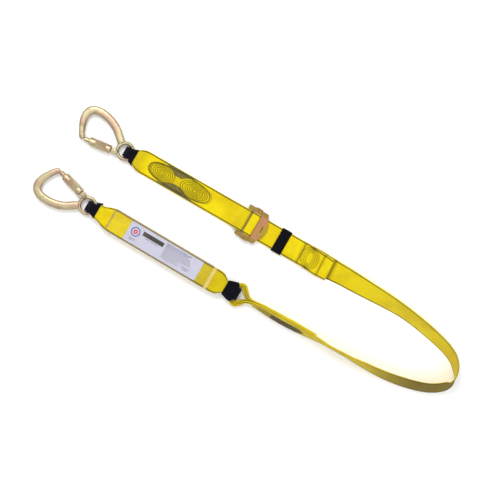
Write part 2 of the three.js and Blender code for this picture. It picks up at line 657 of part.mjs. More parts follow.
const lanyard = group(
  ...placedConnectors(),
  part("short_strap", shortStrap(), "yellow"),
  part("short_strap_wear_sleeve", wearSleeve(eyeLoopStations()), "black"),
  part("short_strap_stitching", shortStrapStitching(), "thread"),
  part("adjuster_frame", adjusterFrame(), "copper"),
  part("adjuster_sliding_bar", slidingBar(), "copper"),
  part("long_webbing", longWebbing(), "yellow"),
  part("tail_stop_stitching", tailStitching(), "thread"),
  part("sewn_loop_stitching", loopStitching(), "thread"),
  part("elastic_keeper", keeper(), "black"),
  absorber(),
);

// The origin is the middle of the whole layout, on the surface that it lies on.
const bounds = new THREE.Box3().setFromObject(lanyard, true);
const middle = bounds.getCenter(new THREE.Vector3());
lanyard.position.set(-middle.x, -middle.y, -bounds.min.z);

export default group(lanyard);
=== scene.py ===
"""Looks for the webbing lanyard: soft pieces, forged hooks, adjuster, materials, light and camera.
Shapes are written in the part's own layout millimetres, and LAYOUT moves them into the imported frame."""

import json
import random
from math import atan2, copysign, cos, dist, exp, hypot, pi, radians, sin

import bmesh
import bpy
from mathutils import Matrix, Vector, noise


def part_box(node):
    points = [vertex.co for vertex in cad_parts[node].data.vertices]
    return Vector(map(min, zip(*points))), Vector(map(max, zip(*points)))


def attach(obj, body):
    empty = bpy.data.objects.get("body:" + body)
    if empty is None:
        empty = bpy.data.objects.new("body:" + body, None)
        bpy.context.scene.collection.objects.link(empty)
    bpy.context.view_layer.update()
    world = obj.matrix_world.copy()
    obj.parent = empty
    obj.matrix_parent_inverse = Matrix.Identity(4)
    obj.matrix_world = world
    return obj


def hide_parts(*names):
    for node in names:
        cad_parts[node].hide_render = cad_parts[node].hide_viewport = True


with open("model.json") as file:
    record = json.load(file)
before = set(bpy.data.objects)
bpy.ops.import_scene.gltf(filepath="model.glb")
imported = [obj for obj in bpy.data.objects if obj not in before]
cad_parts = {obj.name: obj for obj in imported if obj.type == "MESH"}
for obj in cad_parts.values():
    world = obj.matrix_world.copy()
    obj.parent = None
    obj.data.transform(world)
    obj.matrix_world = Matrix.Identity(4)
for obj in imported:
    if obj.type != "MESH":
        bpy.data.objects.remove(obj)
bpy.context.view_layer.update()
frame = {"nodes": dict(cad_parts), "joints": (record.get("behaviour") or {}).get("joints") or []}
NODES = frame["nodes"]
JOINTS = {joint["name"]: joint for joint in frame["joints"]}
MM = 0.001

# Layout millimetres to the frame: the short strap's fixed bar is at a known layout point.
BAR_AT = Vector((260, 0, 9.1))
SHIFT = Vector(JOINTS["short_strap_lift"]["pos_m"]) - BAR_AT * MM
LAYOUT = Matrix.Translation(SHIFT) @ Matrix.Scale(MM, 4)


def axes_from(along, up, origin):
    """Matrix of a local frame in millimetres: X along, Z up, at an origin in metres."""
    x = Vector(along).normalized()
    z = Vector(up).normalized()
    y = z.cross(x)
    turn = Matrix((x, y, z)).transposed().to_4x4()
    return Matrix.Translation(origin) @ turn @ Matrix.Scale(MM, 4)


def add(name, data):
    made = bpy.data.objects.new(name, data)
    bpy.context.scene.collection.objects.link(made)
    return made


# ---------- camera ----------

VIEW = {"x": 298.0, "y": -43.8, "span": 950.0, "lens": 85.0, "sensor": 36.0, "roll": 30.0}


def make_camera():
    data = bpy.data.cameras.new("camera")
    data.lens, data.sensor_width = VIEW["lens"], VIEW["sensor"]
    data.clip_end = 50
    camera = add("camera", data)
    distance = VIEW["span"] * VIEW["lens"] / VIEW["sensor"]
    camera.location = LAYOUT @ Vector((VIEW["x"], VIEW["y"], distance))
    camera.rotation_euler = (0, 0, radians(VIEW["roll"]))
    bpy.context.scene.camera = camera


make_camera()

# ---------- materials ----------


def rgb(r, g, b):
    """Colour of a surface as seen, 0 to 255, in linear light."""
    return (*[(c / 255) ** 2.2 for c in (r, g, b)], 1)


class Look:
    """A node material that is built up in steps."""

    def __init__(self, name, **sockets):
        self.material = bpy.data.materials.new(name)
        self.material.use_nodes = True
        self.tree = self.material.node_tree
        self.shader = self.tree.nodes["Principled BSDF"]
        for socket, value in sockets.items():
            self.shader.inputs[socket.replace("_", " ")].default_value = value

    def node(self, kind, inputs=None, **settings):
        made = self.tree.nodes.new(kind)
        for key, value in settings.items():
            setattr(made, key, value)
        for key, value in (inputs or {}).items():
            if isinstance(value, bpy.types.NodeSocket):
                self.tree.links.new(value, made.inputs[key])
            else:
                made.inputs[key].default_value = value
        return made

    def math(self, operation, a, b=0.0, c=0.0):
        return self.node("ShaderNodeMath", {0: a, 1: b, 2: c}, operation=operation).outputs[0]

    def times(self, a, b):
        return self.math("MULTIPLY", a, b)

    def plus(self, a, b):
        return self.math("ADD", a, b)

    def minus(self, a, b):
        return self.math("SUBTRACT", a, b)

    def size_of(self, a):
        return self.math("ABSOLUTE", a)

    def wave(self, value, pitch):
        return self.math("SINE", self.times(value, 2 * pi / pitch))

    def uv(self):
        """Across and along the weave, in metres."""
        weave = self.node("ShaderNodeUVMap", uv_map="weave").outputs[0]
        split = self.node("ShaderNodeSeparateXYZ", {0: weave})
        return split.outputs[0], split.outputs[1]

    def object_point(self):
        return self.node("ShaderNodeTexCoord").outputs["Object"]

    def noise(self, scale, vector=None, detail=3.0, roughness=0.55):
        point = vector or self.object_point()
        inputs = {"Vector": point, "Scale": scale, "Detail": detail, "Roughness": roughness}
        return self.node("ShaderNodeTexNoise", inputs).outputs["Fac"]

    def ramp(self, factor, low, high):
        """0 at low and 1 at high, smoothly; low may be the larger."""
        inputs = {"Value": factor, "From Min": low, "From Max": high}
        return self.node("ShaderNodeMapRange", inputs, interpolation_type="SMOOTHSTEP").outputs[0]

    def band(self, factor, rise, fall):
        """1 between a rise and a fall, each as (where it is 0, where it is 1)."""
        return self.times(self.ramp(factor, *rise), self.ramp(factor, *fall))

    def mix(self, factor, a, b):
        """a to b; each a socket, or a colour as seen, 0 to 255."""
        a, b = (rgb(*c) if isinstance(c, tuple) else c for c in (a, b))
        return self.node("ShaderNodeMix", {0: factor, 6: a, 7: b}, data_type="RGBA").outputs[2]

    def colour(self, socket):
        self.tree.links.new(socket, self.shader.inputs["Base Color"])

    def rough(self, socket, low, high):
        made = self.node("ShaderNodeMapRange", {"Value": socket, "To Min": low, "To Max": high})
        self.tree.links.new(made.outputs[0], self.shader.inputs["Roughness"])

    def bump(self, height, distance):
        made = self.node("ShaderNodeBump", {"Height": height, "Distance": distance})
        self.tree.links.new(made.outputs[0], self.shader.inputs["Normal"])


# Dark olive mixed in by the fold attribute: painted shade in creases, at bends and in cast shadows, and on
# the rear loop a plain darkening towards its end.
DARKENING_OLIVE = (96, 76, 8)
FILM_TINT = (168, 150, 124)


def webbing_look(name, base, shade, edge, edge_from=0.0188, edge_to=0.0212, rib=0.0018):
    """Woven webbing: chevron ribs that change direction across the width, weft rows and dark selvedges."""
    look = Look(name, Roughness=0.8, Sheen_Weight=0.08, Sheen_Roughness=0.5, Specular_IOR_Level=0.18)
    across, along = look.uv()
    zigzag = look.math("PINGPONG", look.plus(across, 0.03), 0.0038)
    chevron = look.wave(look.plus(along, zigzag), rib)
    warp = look.wave(across, 0.00095)
    height = look.plus(look.times(chevron, 0.65), look.times(warp, 0.35))
    fibre = look.noise(900.0, detail=2.0)
    look.bump(look.plus(height, look.times(fibre, 0.8)), 0.00022)
    blotch = look.noise(22.0)
    tint = look.mix(look.ramp(blotch, 0.35, 0.7), base, shade)
    woven = look.mix(look.math("MULTIPLY_ADD", height, 0.16, 0.18), tint, edge)
    rim, soft = look.size_of(across), 0.0006
    band = look.band(rim, (edge_from, edge_from + soft), (edge_to + soft, edge_to))
    lined = look.mix(look.times(band, 0.9), woven, edge)
    # Painted shade: the fold attribute darkens the weave towards dark olive in creases, at bends and under
    # cast shadows.
    darkened = look.node("ShaderNodeAttribute", attribute_name="fold").outputs["Fac"]
    look.colour(look.mix(darkened, lined, DARKENING_OLIVE))
    look.rough(fibre, 0.68, 0.92)
    return look.material


def sleeve_look(name, base, lit):
    """Close-woven black sleeve or elastic, ribbed along its run."""
    look = Look(name, Roughness=0.85, Sheen_Weight=0.03, Sheen_Roughness=0.5, Specular_IOR_Level=0.12)
    across, along = look.uv()
    ribs = look.wave(across, 0.0016)
    rows = look.wave(along, 0.0012)
    height = look.plus(look.times(ribs, 0.7), look.times(rows, 0.4))
    fuzz = look.noise(700.0)
    look.bump(look.plus(height, fuzz), 0.0003)
    fade = look.math("MULTIPLY_ADD", look.noise(60.0), 0.6, look.times(height, 0.22))
    worn = look.ramp(fade, 0.25, 0.6)
    look.colour(look.mix(worn, base, lit))
    look.rough(fuzz, 0.7, 0.95)
    return look.material


def thread_look(name, base, lit):
    look = Look(name, Roughness=0.8, Specular_IOR_Level=0.15)
    twist = look.noise(1500.0, detail=1.0)
    look.colour(look.mix(twist, base, lit))
    look.bump(twist, 0.0001)
    look.rough(look.noise(300.0), 0.55, 0.85)
    return look.material


# Marks on the adjuster's plating. Places are shares of its box: along 0 to 1, and out from the middle.
BUCKLE = {
    "arms": (0.33, 0.4), "red": ((0.42, 0.46), (0.56, 0.52)), "red_out": (0.38, 0.42),
    "slot": 0.87, "slot_half": (0.1, 0.2), "slot_rim": (1.05, 0.85),
}
KNURL_PITCH = 0.0019


def buckle_hue(look, hue, arms):
    """Olive side arms, a painted red shadow on each where the sliding bar's end meets it, and an olive patch
    round the slot in the lip.
    """
    box = look.node("ShaderNodeTexCoord").outputs["Generated"]
    split = look.node("ShaderNodeSeparateXYZ", {0: box})
    x, y = split.outputs[0], split.outputs[1]
    outer = look.size_of(look.minus(y, 0.5))
    hue = look.mix(look.times(look.ramp(outer, *BUCKLE["arms"]), 0.85), hue, arms)
    # Painted shadow, dark red, where the sliding bar's end meets each arm.
    worn = look.times(look.band(x, *BUCKLE["red"]), look.ramp(outer, *BUCKLE["red_out"]))
    hue = look.mix(look.times(worn, 0.8), hue, (140, 24, 14))
    past = look.math("DIVIDE", look.minus(x, BUCKLE["slot"]), BUCKLE["slot_half"][0])
    aside = look.math("DIVIDE", look.minus(y, 0.5), BUCKLE["slot_half"][1])
    near = look.math("SQRT", look.plus(look.math("POWER", past, 2.0), look.math("POWER", aside, 2.0)))
    return look.mix(look.times(look.ramp(near, *BUCKLE["slot_rim"]), 0.75), hue, (150, 132, 40))


def plated_look(name, main, warm, green, roughness, knurl=False, arms=None):
    """Forged steel with a passivated plating: drifting hues, fine scratches, brighter rubbed patches."""
    look = Look(name, Metallic=0.92, Roughness=roughness)
    drift = look.noise(34.0, detail=4.0)
    hue = look.mix(look.ramp(drift, 0.42, 0.62), main, warm)
    patches = look.ramp(look.noise(60.0, detail=5.0), 0.5, 0.72)
    hue = look.mix(look.times(patches, 0.6), hue, green)
    if arms:
        hue = buckle_hue(look, hue, arms)
    grain = {"Vector": look.object_point(), "Scale": (90.0, 700.0, 260.0)}
    stretched = look.node("ShaderNodeMapping", grain).outputs[0]
    scratch = look.noise(4.0, stretched, detail=6.0, roughness=0.7)
    rubbed = look.times(look.ramp(scratch, 0.56, 0.7), 0.25)
    look.colour(look.mix(rubbed, hue, (240, 228, 200)))
    look.rough(scratch, roughness - 0.08, roughness + 0.2)
    grit = look.noise(1100.0, detail=2.0)
    relief = look.plus(look.times(scratch, 1.5), grit)
    if knurl:
        across, along = look.uv()
        one = look.wave(look.plus(across, along), KNURL_PITCH)
        two = look.wave(look.minus(across, along), KNURL_PITCH)
        held = look.band(along, (0.016, 0.017), (0.039, 0.038))
        diamonds = look.times(look.times(one, two), held)
        relief = look.plus(relief, look.times(diamonds, 4.0))
    look.bump(relief, 0.00006)
    return look.material


def film_look(name):
    """Clear shrink film with soft creases, denser along its folded edges and its two hemmed mouths; along
    the folded edges the extra opacity is also a painted grey line for the refraction there.
    """
    look = Look(name, Base_Color=rgb(*FILM_TINT), Roughness=0.16, IOR=1.45)
    across, along = look.uv()
    creases = look.noise(70.0, detail=4.0, roughness=0.65)
    look.bump(creases, 0.0012)
    look.rough(look.noise(25.0), 0.08, 0.3)
    # Folded side edges: doubled film, and a painted grey line where refraction shows at the edge.
    edge = look.band(look.size_of(across), (0.0208, 0.0224), (0.0232, 0.0227))
    front = look.times(look.ramp(along, 0.0545, 0.0525), 0.5)
    pale = look.band(along, (0.2655, 0.2675), (0.2745, 0.2725))
    look.colour(look.mix(pale, FILM_TINT, (252, 232, 150)))
    rear = look.times(pale, 0.22)
    dense = look.math("MAXIMUM", look.math("MAXIMUM", front, rear), look.times(edge, 0.45))
    worn = look.times(look.ramp(creases, 0.5, 0.75), 0.06)
    alpha = look.plus(look.plus(dense, worn), 0.03)
    look.tree.links.new(alpha, look.shader.inputs["Alpha"])
    return look.material


def printed_look(name, ink, paper):
    look = Look(name, Roughness=0.45, Coat_Weight=0.2)
    grain = look.noise(260.0)
    look.colour(look.mix(look.times(grain, 0.25), ink, paper))
    look.bump(look.noise(40.0), 0.0003)
    look.rough(grain, 0.45 - 0.12, 0.45 + 0.18)
    return look.material


OLIVE = (92, 82, 4)
LOOKS = {
    "webbing": webbing_look("yellow_weave", (246, 222, 2), (226, 196, 2), OLIVE),
    "tear": webbing_look("tear_weave", (222, 188, 6), (200, 160, 6), OLIVE, 0.0195, 0.0215, 0.0026),
    "sleeve": sleeve_look("black_weave", (6, 5, 16), (26, 24, 44)),
    "elastic": sleeve_look("black_elastic", (5, 4, 12), (22, 20, 32)),
    "thread": thread_look("charcoal_thread", (40, 42, 58), (78, 80, 92)),
    "olive_thread": thread_look("olive_thread", (70, 62, 18), (104, 94, 36)),
    "gold": plated_look(
        "pale_gold_plating", (178, 165, 132), (172, 145, 122), (122, 117, 80), 0.36,
    ),
    "grip": plated_look(
        "knurled_plating", (198, 184, 148), (190, 162, 134), (146, 138, 100), 0.34, knurl=True,
    ),
    "copper": plated_look(
        "copper_plating", (164, 122, 80), (168, 116, 88), (128, 110, 52), 0.36,
        arms=(128, 112, 56),
    ),
    "steel": plated_look(
        "drawn_steel", (196, 194, 186), (205, 196, 180), (160, 160, 150), 0.28,
    ),
    "film": film_look("clear_film"),
    "label": printed_look("label_paper", (180, 180, 200), (196, 196, 212)),
    "ink": printed_look("label_ink", (4, 4, 6), (14, 14, 18)),
    "grey_ink": printed_look("label_grey_ink", (84, 86, 104), (120, 122, 140)),
    "blue_ink": printed_look("label_blue_ink", (48, 62, 130), (84, 96, 156)),
    "red_ink": printed_look("label_red_ink", (200, 36, 66), (214, 84, 106)),
}

# ---------- pieces ----------


def outward(mesh):
    """Turns every face outwards."""
    fix = bmesh.new()
    fix.from_mesh(mesh)
    bmesh.ops.recalc_face_normals(fix, faces=fix.faces)
    fix.to_mesh(mesh)
    fix.free()


def piece(
    name, verts, faces, look, body, uv=None, matrix=LAYOUT, smooth=True, replaces=(), slot=None, folds=None
):
    """A mesh piece from points in millimetres; each point's darkening towards dark olive goes into the fold
    attribute. It is painted shade in creases, at bends and in cast shadows, and on the rear loop a plain
    darkening towards its end.
    """
    mesh = bpy.data.meshes.new(name)
    mesh.from_pydata([matrix @ Vector(v) for v in verts], [], faces)
    if uv:
        layer = mesh.uv_layers.new(name="weave")
        for loop in mesh.loops:
            layer.data[loop.index].uv = uv[loop.vertex_index]
    if folds:
        mesh.attributes.new("fold", "FLOAT", "POINT").data.foreach_set("value", folds)
    mesh.polygons.foreach_set("use_smooth", [smooth] * len(mesh.polygons))
    mesh.materials.append(LOOKS[look])
    made = add(name, mesh)
    outward(mesh)
    finish_piece(made, body, replaces)
    return made


def finish_piece(made, body, replaces=()):
    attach(made, body)
    if replaces:
        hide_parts(*replaces)


def keep_node(name, look, bevel=0.0):
    """A CAD node whose shape is right: gets its material and eased edges."""
    node = NODES[name]
    node.data.materials.clear()
    node.data.materials.append(LOOKS[look])
    if bevel:
        ease = node.modifiers.new("eased_edges", "BEVEL")
        ease.width, ease.segments = bevel, 2
        ease.limit_method, ease.angle_limit = "ANGLE", radians(40)
        ease.harden_normals = True


def curve_points(points, steps, closed=False):
    """Centripetal curve through points of any length of tuple; the first three numbers set its spacing."""
    count = len(points)
    spans = count if closed else count - 1

    def point(i):
        if closed:
            return points[i % count]
        if i < 0:
            return [2 * a - b for a, b in zip(points[0], points[1])]
        if i >= count:
            return [2 * a - b for a, b in zip(points[-1], points[-2])]
        return points[i]

    def gap(a, b):
        return max(dist(a[:3], b[:3]) ** 0.5, 1e-4)

    def at(t):
        s = min(t * spans, spans - 1e-9)
        i = int(s)
        w = s - i
        p0, p1, p2, p3 = (point(i + k) for k in (-1, 0, 1, 2))
        d0, d1, d2 = gap(p0, p1), gap(p1, p2), gap(p2, p3)
        out = []
        for x0, x1, x2, x3 in zip(p0, p1, p2, p3):
            t1 = ((x1 - x0) / d0 - (x2 - x0) / (d0 + d1) + (x2 - x1) / d1) * d1
            t2 = ((x2 - x1) / d1 - (x3 - x1) / (d1 + d2) + (x3 - x2) / d2) * d1
            bend = (-3 * x1 + 3 * x2 - 2 * t1 - t2) * w**2
            out.append(x1 + t1 * w + bend + (2 * x1 - 2 * x2 + t1 + t2) * w**3)
        return out

    if isinstance(steps, int):
        last = spans * steps
        return [at(i / last) for i in range(last + (0 if closed else 1))]
    return [at(t) for t in steps]


# ---------- webbing ----------

ROOT = "webbing_and_adjuster"
WIDTH = 45.0
THICK = 2.4
GAP = 0.35
PLY = THICK + GAP


def circle(sides):
    """Cosine and sine of each corner of a regular outline."""
    turns = [2 * pi * j / sides for j in range(sides)]
    return [(cos(t), sin(t)) for t in turns]


def arc(x, z, radius, degrees):
    """A point on a circle in the X-Z plane."""
    a = radians(degrees)
    return x + radius * cos(a), z + radius * sin(a)


def signed_power(value, power):
    return copysign(abs(value) ** power, value)


def smooth_step(low, high, x):
    s = max(0.0, min(1.0, (x - low) / (high - low)))
    return s * s * (3 - 2 * s)


def line_at(x, place, width):
    return max(0.0, 1 - abs(x - place) / width)


def station(at, side, width=WIDTH, thick=THICK):
    return {"at": Vector(at), "side": Vector(side).normalized(), "width": width, "thick": thick}


def in_profile(points):
    """Stations of a strap that runs in the X-Z plane, from (x, z, width) points."""
    return [station((x, 0.0, z), (0, 1, 0), width) for x, z, width in points]


def aligned(stations, closed=False):
    count = len(stations)
    travelled = 0.0
    for i, here in enumerate(stations):
        before = stations[i - 1] if closed or i else here
        after = stations[(i + 1) % count] if closed or i < count - 1 else here
        here["along"] = (after["at"] - before["at"]).normalized()
        here["face"] = here["along"].cross(here["side"]).normalized()
        travelled += (here["at"] - before["at"]).length if i else 0.0
        here["v"] = travelled
    return stations


def section(here, across, grow=0.0, shape=None, darken_by=None):
    """Points round the webbing: across its upper face, round one edge, back below, round the other edge."""
    half, deep = here["width"] / 2 + grow, here["thick"] / 2 + grow
    inner = half - deep * 0.7
    ring = []
    for i in range(across + 1):
        ring.append((inner * (2 * i / across - 1), deep))
    ring += [(half - deep * 0.2, deep * 0.62), (half, 0.0), (half - deep * 0.2, -deep * 0.62)]
    for i in range(across + 1):
        ring.append((inner * (1 - 2 * i / across), -deep))
    ring += [(-half + deep * 0.2, -deep * 0.62), (-half, 0.0), (-half + deep * 0.2, deep * 0.62)]
    points, marks, folds = [], [], []
    for s, n in ring:
        lift = shape(s / half, here, n > 0) if shape else 0.0
        points.append(here["at"] + here["side"] * s + here["face"] * (n + lift))
        marks.append((s / half * WIDTH / 2 * MM, here["v"] * MM))
        folds.append(max(0.0, min(1.0, darken_by(s / half, here, n > 0))) if darken_by else 0.0)
    return points, marks, folds


def skin(rings, closed):
    around = len(rings[0])
    faces = []
    for i in range(len(rings) if closed else len(rings) - 1):
        a, b = i * around, (i + 1) % len(rings) * around
        faces += [(a + j, a + (j + 1) % around, b + (j + 1) % around, b + j) for j in range(around)]
    return faces


def webbing(
    name, stations, look, body, closed=False, shape=None, darken_by=None, matrix=LAYOUT, **facts
):
    aligned(stations, closed)
    made = [section(here, 12, shape=shape, darken_by=darken_by) for here in stations]
    rings = [points for points, _, _ in made]
    verts = [p for ring in rings for p in ring]
    uv = [m for _, marks, _ in made for m in marks]
    facts["folds"] = [f for _, _, folds in made for f in folds]
    faces = skin(rings, closed)
    around = len(rings[0])
    if not closed:
        faces.append(tuple(range(around)))
        faces.append(tuple(range(len(verts) - around, len(verts))))
    return piece(name, verts, faces, look, body, uv, matrix, slot="yellow_webbing", **facts)


SLEEVE = {"gap": 0.3, "wall": 0.7}


def tube(name, stations, body, replaced, matrix=LAYOUT):
    """A woven sleeve round the stations: an outer and an inner skin joined at both ends."""
    aligned(stations)
    last = len(stations) - 1

    def ring(i, grow):
        return section(stations[i], 10, grow + hem(i / last))

    outer = [ring(i, SLEEVE["gap"] + SLEEVE["wall"]) for i in range(last + 1)]
    inner = [ring(i, SLEEVE["gap"]) for i in range(last + 1)]
    made = outer + inner[::-1]
    rings = [points for points, _, _ in made]
    verts = [p for r in rings for p in r]
    uv = [m for _, marks, _ in made for m in marks]
    piece(
        name, verts, skin(rings, True), "sleeve", body, uv, matrix, replaces=[replaced], slot="black_sleeve",
    )


# The eye loop: (x from the wire, height, width) from below to above, as in the part.
WIRE = 15.3
EYE_LOOP = [
    (7.7, 2.35, 28), (0, 2.35, 25.5), (-8, 2.9, 22.5), (-12.8, 5.6, 20), (-14.6, 10.5, 19.4),
    (-13.2, 16, 19.4), (-8.6, 20.4, 19.4), (-2, 21.9, 19.8), (3.5, 21.2, 24), (7.7, 19.8, 28),
]


def from_wire(points):
    return [(x + WIRE, z, width) for x, z, width in points]


def eye_loop(peek):
    """Stations round the eye; the lower leg shows a little beyond the upper one, by peek to one side."""
    stations = in_profile(curve_points(from_wire(EYE_LOOP), 6))
    for i, here in enumerate(stations[:18]):
        here["at"].y += peek * (1 - i / 18) ** 2
    return stations


def hem(t):
    """Fullness of a sleeve: it stands a little proud at its two ends, and buckles slightly between."""
    return 0.12 * exp(-((min(t, 1 - t) / 0.03) ** 2)) + 0.06 * sin(t * 31) ** 2


# ---------- long webbing ----------

# The long webbing: (x, y of its lower edge, lean from flat in degrees, height of the edge).
ROUTE = [
    (290, -22.5, 0, 1.2), (340, -22.5, 0, 1.2), (385, -22.5, 0, 1.2), (405, -21.8, 3, 0.5),
    (422, -21, 9, 0), (438, -20, 18, 0), (457, -18.4, 27, 0), (479, -16.7, 33, 0),
    (501, -15.9, 37, 0), (522, -14.8, 41.5, 0), (544, -13.6, 46, 0), (566, -12.2, 50.5, 0),
    (589, -11.2, 56, 0), (613, -11.6, 60, 0), (636, -13.9, 62, 0), (661, -17.8, 63, 0),
    (687, -22.8, 65, 0), (705, -27, 67, 0), (722, -32.4, 71, 0), (736, -39.6, 79, 0),
    (748, -50, 90, 0), (756.4, -61, 102, 0), (759.4, -73, 112, 0), (754.7, -86.5, 117, 0),
    (740, -100.3, 118, 0), (720, -111.2, 117, 0), (695, -119.4, 116, 0), (670, -125, 115, 0),
    (646, -128.5, 113, 0), (619, -130.3, 110, 0), (591, -130.4, 106, 0), (566, -129.8, 101, 0),
    (543, -129, 98, 0.3), (521, -129.2, 97, 0.9), (499, -130.2, 100, 1), (481, -131.8, 104, 1),
    (456, -134.4, 108, 1), (433, -136, 110, 1), (412, -136.5, 110, 1), (390, -136, 108, 1),
]
EDGE = [(x, y, 0.0) for x, y, _, _ in ROUTE]
LEAN = [(lean, lift, 0.0) for _, _, lean, lift in ROUTE]
FAR_POINT = 22


def route_frame(t):
    """Ground edge, width direction and face direction of the long webbing at a point of its route."""
    step = 1e-4
    a, b = curve_points(EDGE, [max(t - step, 0), min(t + step, 1)])
    edge = Vector(curve_points(EDGE, [t])[0])
    lean, lift, _ = curve_points(LEAN, [t])[0]
    angle = radians(lean)
    along = (Vector(b) - Vector(a)).normalized()
    side = Vector((-along.y, along.x, 0)) * cos(angle) + Vector((0, 0, sin(angle)))
    edge.z = 0.1 + lift + THICK / 2 * abs(cos(angle))
    return edge, side, along.cross(side)


def route_station(t, plies=0.0, shift=0.0):
    edge, side, face = route_frame(t)
    return station(edge + side * (WIDTH / 2 + shift) + face * plies * PLY, side)


def route_at(x, returning=False):
    turn = FAR_POINT / (len(ROUTE) - 1)
    low, high = (1.0, turn) if returning else (0.0, turn)
    for _ in range(36):
        middle = (low + high) / 2
        if curve_points(EDGE, [middle])[0][0] < x:
            low = middle
        else:
            high = middle
    return low


BAR_WRAP = [
    (289, 5.2, WIDTH), (286.2, 5.15, WIDTH), (284.2, 6.1, WIDTH), (283.8, 8.2, WIDTH), (283.8, 10.6, WIDTH),
    (282, 12.9, WIDTH), (277, 13.3, WIDTH), (272.5, 13.2, WIDTH), (269.9, 12, WIDTH), (268.8, 9, WIDTH),
    (269.8, 5.9, WIDTH), (273, 4.4, WIDTH), (279, 3, WIDTH), (286, 2.5, WIDTH),
]
LINK_Y = -128.0
SEWN_FROM = 391
STRAND_IN = [
    (374, -128.7, 20.6, 41, 2.5, 17), (360, -129.3, 17.6, 34, 3, 14), (349, -129.9, 12.6, 22, 4, 9),
    (340, -131.9, 9, 13, 7.2, 3), (335, -135, 8.6, 10.5, 9.4, 0), (329, -141.2, 8.6, 9, 11.2, 0),
    (321.6, -147.2, 9.8, 7.4, 10, 0), (315, -144.6, 10, 7.4, 8, 0), (312.3, -140.4, 10, 7.4, 8, 0),
    (311.9, -134, 10, 7.4, 8, 0), (311.9, -128, 10, 7.4, 8, 0),
]
STRAND_OUT = [
    *[(x, 2 * LINK_Y - y, *rest) for x, y, *rest in STRAND_IN[3:][::-1]],
    (349, -125.3, 12.6, 22, 4, 9), (360, -125.9, 17.4, 34, 2.6, 14), (374, -125.8, 19.5, 41, 2.4, 17),
]


def strand(points):
    made = []
    for x, y, z, width, thick, lean in curve_points(points, 6):
        angle = radians(lean)
        made.append(station((x, y, z), (0, sin(angle), cos(angle)), width, thick))
    return made


def gathered(u, here, upper):
    """Lengthwise folds where the webbing is gathered into a strand."""
    full = max(0.0, min(1.0, (here["thick"] - 2.6) / 4))
    return (1 if upper else -1) * full * 0.16 * cos(u * 3 * pi) * (1 - abs(u)) ** 0.3


def tail_shift(x):
    return -2 * smooth_step(385, 425, x)


STOP = {"fold": 449.0, "inner": 386.0, "raw": 428.5}


def tail_stations():
    def at(x, plies):
        pinch = 3.0 * line_at(x, 404, 9) if plies == 3 else 0.0
        here = route_station(route_at(x), plies, tail_shift(x))
        here["width"] -= pinch
        return here

    def run(a, b, plies, step=4.0):
        count = max(2, round(abs(b - a) / step))
        return [at(a + (b - a) * i / count, plies) for i in range(count + 1)]

    def fold(x, plies, sign):
        turns = [0.5 - i / 8 for i in range(9)]
        return [at(x + sign * PLY / 2 * cos(h * pi), plies + h * 0.98) for h in turns[1:-1]]

    return [
        *run(STOP["raw"], STOP["inner"] + 2, 3), *fold(STOP["inner"] + 1.5, 2.5, -1),
        *run(STOP["inner"] + 2, STOP["fold"] - 3, 2), *fold(STOP["fold"] - 2.6, 1.5, 1),
        *run(STOP["fold"] - 3, 300, 1, 6.0),
    ]


def stop_dents(u, here, upper):
    """The tail stop is drawn in under its ring stitching."""
    x = here["at"].x
    rings = hypot((x - 403) / 19, u / 0.92)
    return -0.35 * max(0.0, 1 - abs(rings - 0.7) / 0.4) if upper else 0.0


def load_painted_shade(u, here, upper):
    """Painted shade on the outer face, strongest at the far turn and along one side of the sewn strip, and a
    painted shadow across the upper face where the tail's folded end lies on it.
    """
    x, y = here["at"].x, here["at"].y
    if y > -60:
        return 0.95 * line_at(x, 451, 4.5) if upper else 0.87 * smooth_step(620, 750, x)
    if upper or x < 340:
        return 0.0
    far = 0.12 + 0.75 * smooth_step(560, 700, x)
    low = smooth_step(0.25, 0.0, u) * 0.6 + 0.9 * line_at(u, 0.15, 0.16)
    sewn = low * smooth_step(340, 375, x) * smooth_step(478, 430, x)
    return max(far if x > 500 else 0.12, sewn)


# Painted shade: dark lines in the creases of the stop's folds and where the tail turns down round the
# sliding bar, and in the dents at the stop's ring stitching.
def tail_painted_shade(u, here, upper):
    x, z = here["at"].x, here["at"].z
    marks = [0.8 * line_at(x, place, width) for place, width in ((386, 1.8), (429, 1.8), (268.5, 1.6))]
    dents = 0.95 * line_at(x, 404, 10) * smooth_step(0.72, 0.95, abs(u)) if z > 8 else 0.0
    return max(*marks, dents)


def make_long_webbing():
    steps = 210
    run = [route_station(i / steps) for i in range(steps + 1)]
    front = in_profile([(280, 2.86, WIDTH), (285, 2.55, WIDTH)])
    stations = [*front, *run, *strand(STRAND_IN)]
    load = webbing(
        "load_webbing", stations, "webbing", ROOT, shape=gathered,
        darken_by=load_painted_shade, replaces=["long_webbing"],
    )
    back = [route_station(route_at(x, True), 1) for x in range(SEWN_FROM, 487, 5)]
    webbing(
        "sewn_return", [*strand(STRAND_OUT), *back], "webbing", ROOT, shape=gathered,
        replaces=["long_webbing"],
    )
    wrap = in_profile(curve_points(BAR_WRAP, 4))
    webbing(
        "adjusting_tail", [*tail_stations(), *wrap], "webbing", ROOT, shape=stop_dents,
        darken_by=tail_painted_shade, replaces=["long_webbing"],
    )


make_long_webbing()

# ---------- stitching ----------


# One stitch: (share of its length, share of its radius, lift in radii / 2).
STITCH = [(0.0, 0.35, -0.25), (0.18, 1.0, 0.15), (0.5, 1.1, 0.3), (0.82, 1.0, 0.15), (1.0, 0.35, -0.25)]


